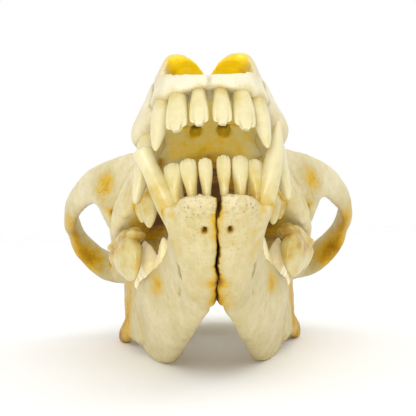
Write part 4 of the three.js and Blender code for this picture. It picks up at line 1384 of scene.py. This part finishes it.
def bone_material():
    """Ivory to umber, dark in marks, pores and the painted shade of holes and creases, lit through where
    thin by painted glow, with grain and pores as bump.
    """
    n = Nodes("bone")
    hole, speck = bone_pores(n)
    # Marks hold seams and the painted shade in holes and creases; pores add their specks.
    dark = n.sums("ADD", n.stored("mark"), speck, True)
    shade = n.add("MixRGB", Fac=dark, Color1=bone_tone(n), Color2=DARK_MARK_AND_SHADE)
    height = n.sums("ADD", n.scaled(0.5, n.noise(420, 5, 0.6)), n.scaled(0.2, n.noise(1500, 3)))
    height = n.sums("SUBTRACT", height, n.scaled(0.3, hole))
    bump = n.add("Bump", Height=height, Strength=0.35, Distance=0.0006)
    rough = n.sums("ADD", n.scaled(0.2, n.noise(150, 3)), 0.4)
    n.set(n.shader, Base_Color=shade.outputs["Color"], Roughness=rough, Normal=bump.outputs["Normal"])
    n.set(n.shader, Subsurface_Weight=0.18, Subsurface_Radius=(1.0, 0.6, 0.3), Subsurface_Scale=0.0022)
    n.set(n.shader, Specular_IOR_Level=0.25)
    n.set(n.shader, Emission_Color=LEMON, Emission_Strength=n.scaled(0.72, n.stored("glow")))
    return n.material


bone = bone_material()
print("finish:", bone.name, "with", len(bone.node_tree.nodes), "nodes")

# %% [markdown]
# ## Enamel
# Enamel is smoother than bone and looks wet, so it has a thin clear coat. It is ivory at the tip and
# yellow at the gum, with faint upright streaks. The lower cheek teeth lie in the shade of the upper ones,
# so a little glow of their own makes up for the light that the lamps don't bring there.


# %% Enamel
def enamel_material():
    """Glossy ivory, yellow at the gum, with faint upright streaks and golden clouds."""
    n = Nodes("enamel")
    drift = n.sums("ADD", n.swing(0.3, 240, 4, 0.6, (1, 1, 0.2)), n.swing(1.3, 170, 3))
    tone = n.sums("ADD", n.stored("tone"), drift, True)
    colour = n.ramp(
        tone,
        (0.0, linear(192, 150, 58)),
        (0.2, linear(218, 190, 98)),
        (0.42, linear(224, 206, 138)),
        (0.65, linear(231, 217, 160)),
        (0.95, linear(238, 227, 180)),
    )
    bump = n.add("Bump", Height=n.noise(700, 3), Strength=0.12, Distance=0.0004)
    n.set(n.shader, Base_Color=colour, Roughness=0.25, Normal=bump.outputs["Normal"])
    n.set(n.shader, Specular_IOR_Level=0.35, Coat_Weight=0.12, Coat_Roughness=0.1)
    n.set(n.shader, Emission_Color=linear(240, 226, 186), Emission_Strength=n.stored("glow"))
    n.set(n.shader, Subsurface_Weight=0.2, Subsurface_Radius=(1.0, 0.85, 0.55), Subsurface_Scale=0.002)
    return n.material


enamel = enamel_material()
print("finish:", enamel.name, "with", len(enamel.node_tree.nodes), "nodes")

# %% [markdown]
# ## Pieces on the table
# Every bone and tooth becomes its own object with its place in the mesh, so that it can be picked out,
# and takes over from the plain solid of the same bone. Bone that would sink into the table is flattened
# where it touches. Each tooth stores its tone, which rises from the gum to the tip.


# %% Pieces
def piece(name, points, faces, material, **values):
    """An object in place on the table, smooth-shaded, with one number per point stored under each name."""
    mesh = bpy.data.meshes.new(name)
    placed = carried(points, to_table)
    placed[:, 2] = np.maximum(placed[:, 2], 0)
    fill(mesh, placed, faces)
    mesh.shade_smooth()
    for label, numbers in values.items():
        layer = mesh.attributes.new(label, "FLOAT", "POINT")
        layer.data.foreach_set("value", numbers.astype(np.float32))
    mesh.materials.append(material)
    thing = bpy.data.objects.new(name, mesh)
    bpy.context.collection.objects.link(thing)
    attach(thing, "root")
    return thing


# For each row: tone at the gum, and its rise for each millimetre above it.
FRONT_TONE = {"upper": (0.34, 0.06), "lower": (0.18, 0.045)}
# The lower cheek teeth get a much paler tone than the upper ones: painted light, as they lie in the shade
# of the upper row.
CHEEK_TONE_AND_PAINTED_LIGHT = {"upper": (0.14, 0.03), "lower": (0.62, 0.03)}
LEAST_TONE, MOST_TONE = 0.05, 0.95
LAST_FRONT_TOOTH = 3
CHEEK_GLOW = {"upper": 0.0, "lower": 0.42}
CRANIUM_NODES = ("muzzle", "braincase", "cheekbone_left", "cheekbone_right")
cranium = piece("cranium", cranium_points, cranium_faces, bone, **cranium_marks)
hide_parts(*CRANIUM_NODES)
for side, (points, faces, *_) in jaws.items():
    half = piece("jaw_half_" + side, points, faces, bone, **jaw_marks[side])
    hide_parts("jaw_" + side)
for row, members in teeth.items():
    for number, (points, faces, crown) in enumerate(members):
        level, side = row.split("_")
        behind = number > LAST_FRONT_TOOTH
        shade, rise = (CHEEK_TONE_AND_PAINTED_LIGHT if behind else FRONT_TONE)[level]
        tone = np.clip(shade + rise * np.abs(crown), LEAST_TONE, MOST_TONE)
        glow = np.full(len(points), CHEEK_GLOW[level] if behind else 0.0)
        tooth = piece(f"tooth_{row}_{number + 1}", points, faces, enamel, tone=tone, glow=glow)
        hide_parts("muzzle" if level == "upper" else "jaw_" + side)

# %% [markdown]
# ## Light and floor
# The picture has no background at all: white paper that runs up behind the skull, a broad soft light in
# front and above, and paper that throws light back up under the jaw. A bright sky and two big area lamps
# give the same, and the plain picture curve keeps the white paper white.

# %% Floor, lamps and sky
FLOOR_HALF = 3.0
floor_mesh = bpy.data.meshes.new("floor")
corners = FLOOR_HALF * np.array([(-1, -1, 0), (1, -1, 0), (1, 1, 0), (-1, 1, 0)])
fill(floor_mesh, corners, np.array([[0, 1, 2, 3]]))
paper = Nodes("paper")
paper.set(paper.shader, Base_Color=(0.99, 0.99, 0.985, 1), Roughness=0.9)
floor_mesh.materials.append(paper.material)
floor = bpy.data.objects.new("floor", floor_mesh)
bpy.context.collection.objects.link(floor)


def lamp(name, place, target, size, power):
    """A square area lamp at a place that faces a target, all in metres."""
    data = bpy.data.lights.new(name, "AREA")
    data.size = size
    data.energy = power
    thing = bpy.data.objects.new(name, data)
    turn = (Vector(target) - Vector(place)).to_track_quat("-Z", "Y")
    thing.matrix_world = Matrix.Translation(place) @ turn.to_matrix().to_4x4()
    bpy.context.collection.objects.link(thing)
    return thing


SKULL_MIDDLE = (0, 0, 0.05)
lamp("front_lamp", (-0.12, -0.8, 0.16), SKULL_MIDDLE, 0.3, 1.8)
lamp("top_lamp", (0.3, 0.0, 1.0), SKULL_MIDDLE, 0.8, 1.5)
world = bpy.data.worlds.new("white")
world.use_nodes = True
sky = world.node_tree.nodes["Background"]
sky.inputs["Color"].default_value = (1, 1, 1, 1)
sky.inputs["Strength"].default_value = 1.0
bpy.context.scene.world = world
bpy.context.scene.view_settings.view_transform = "Standard"
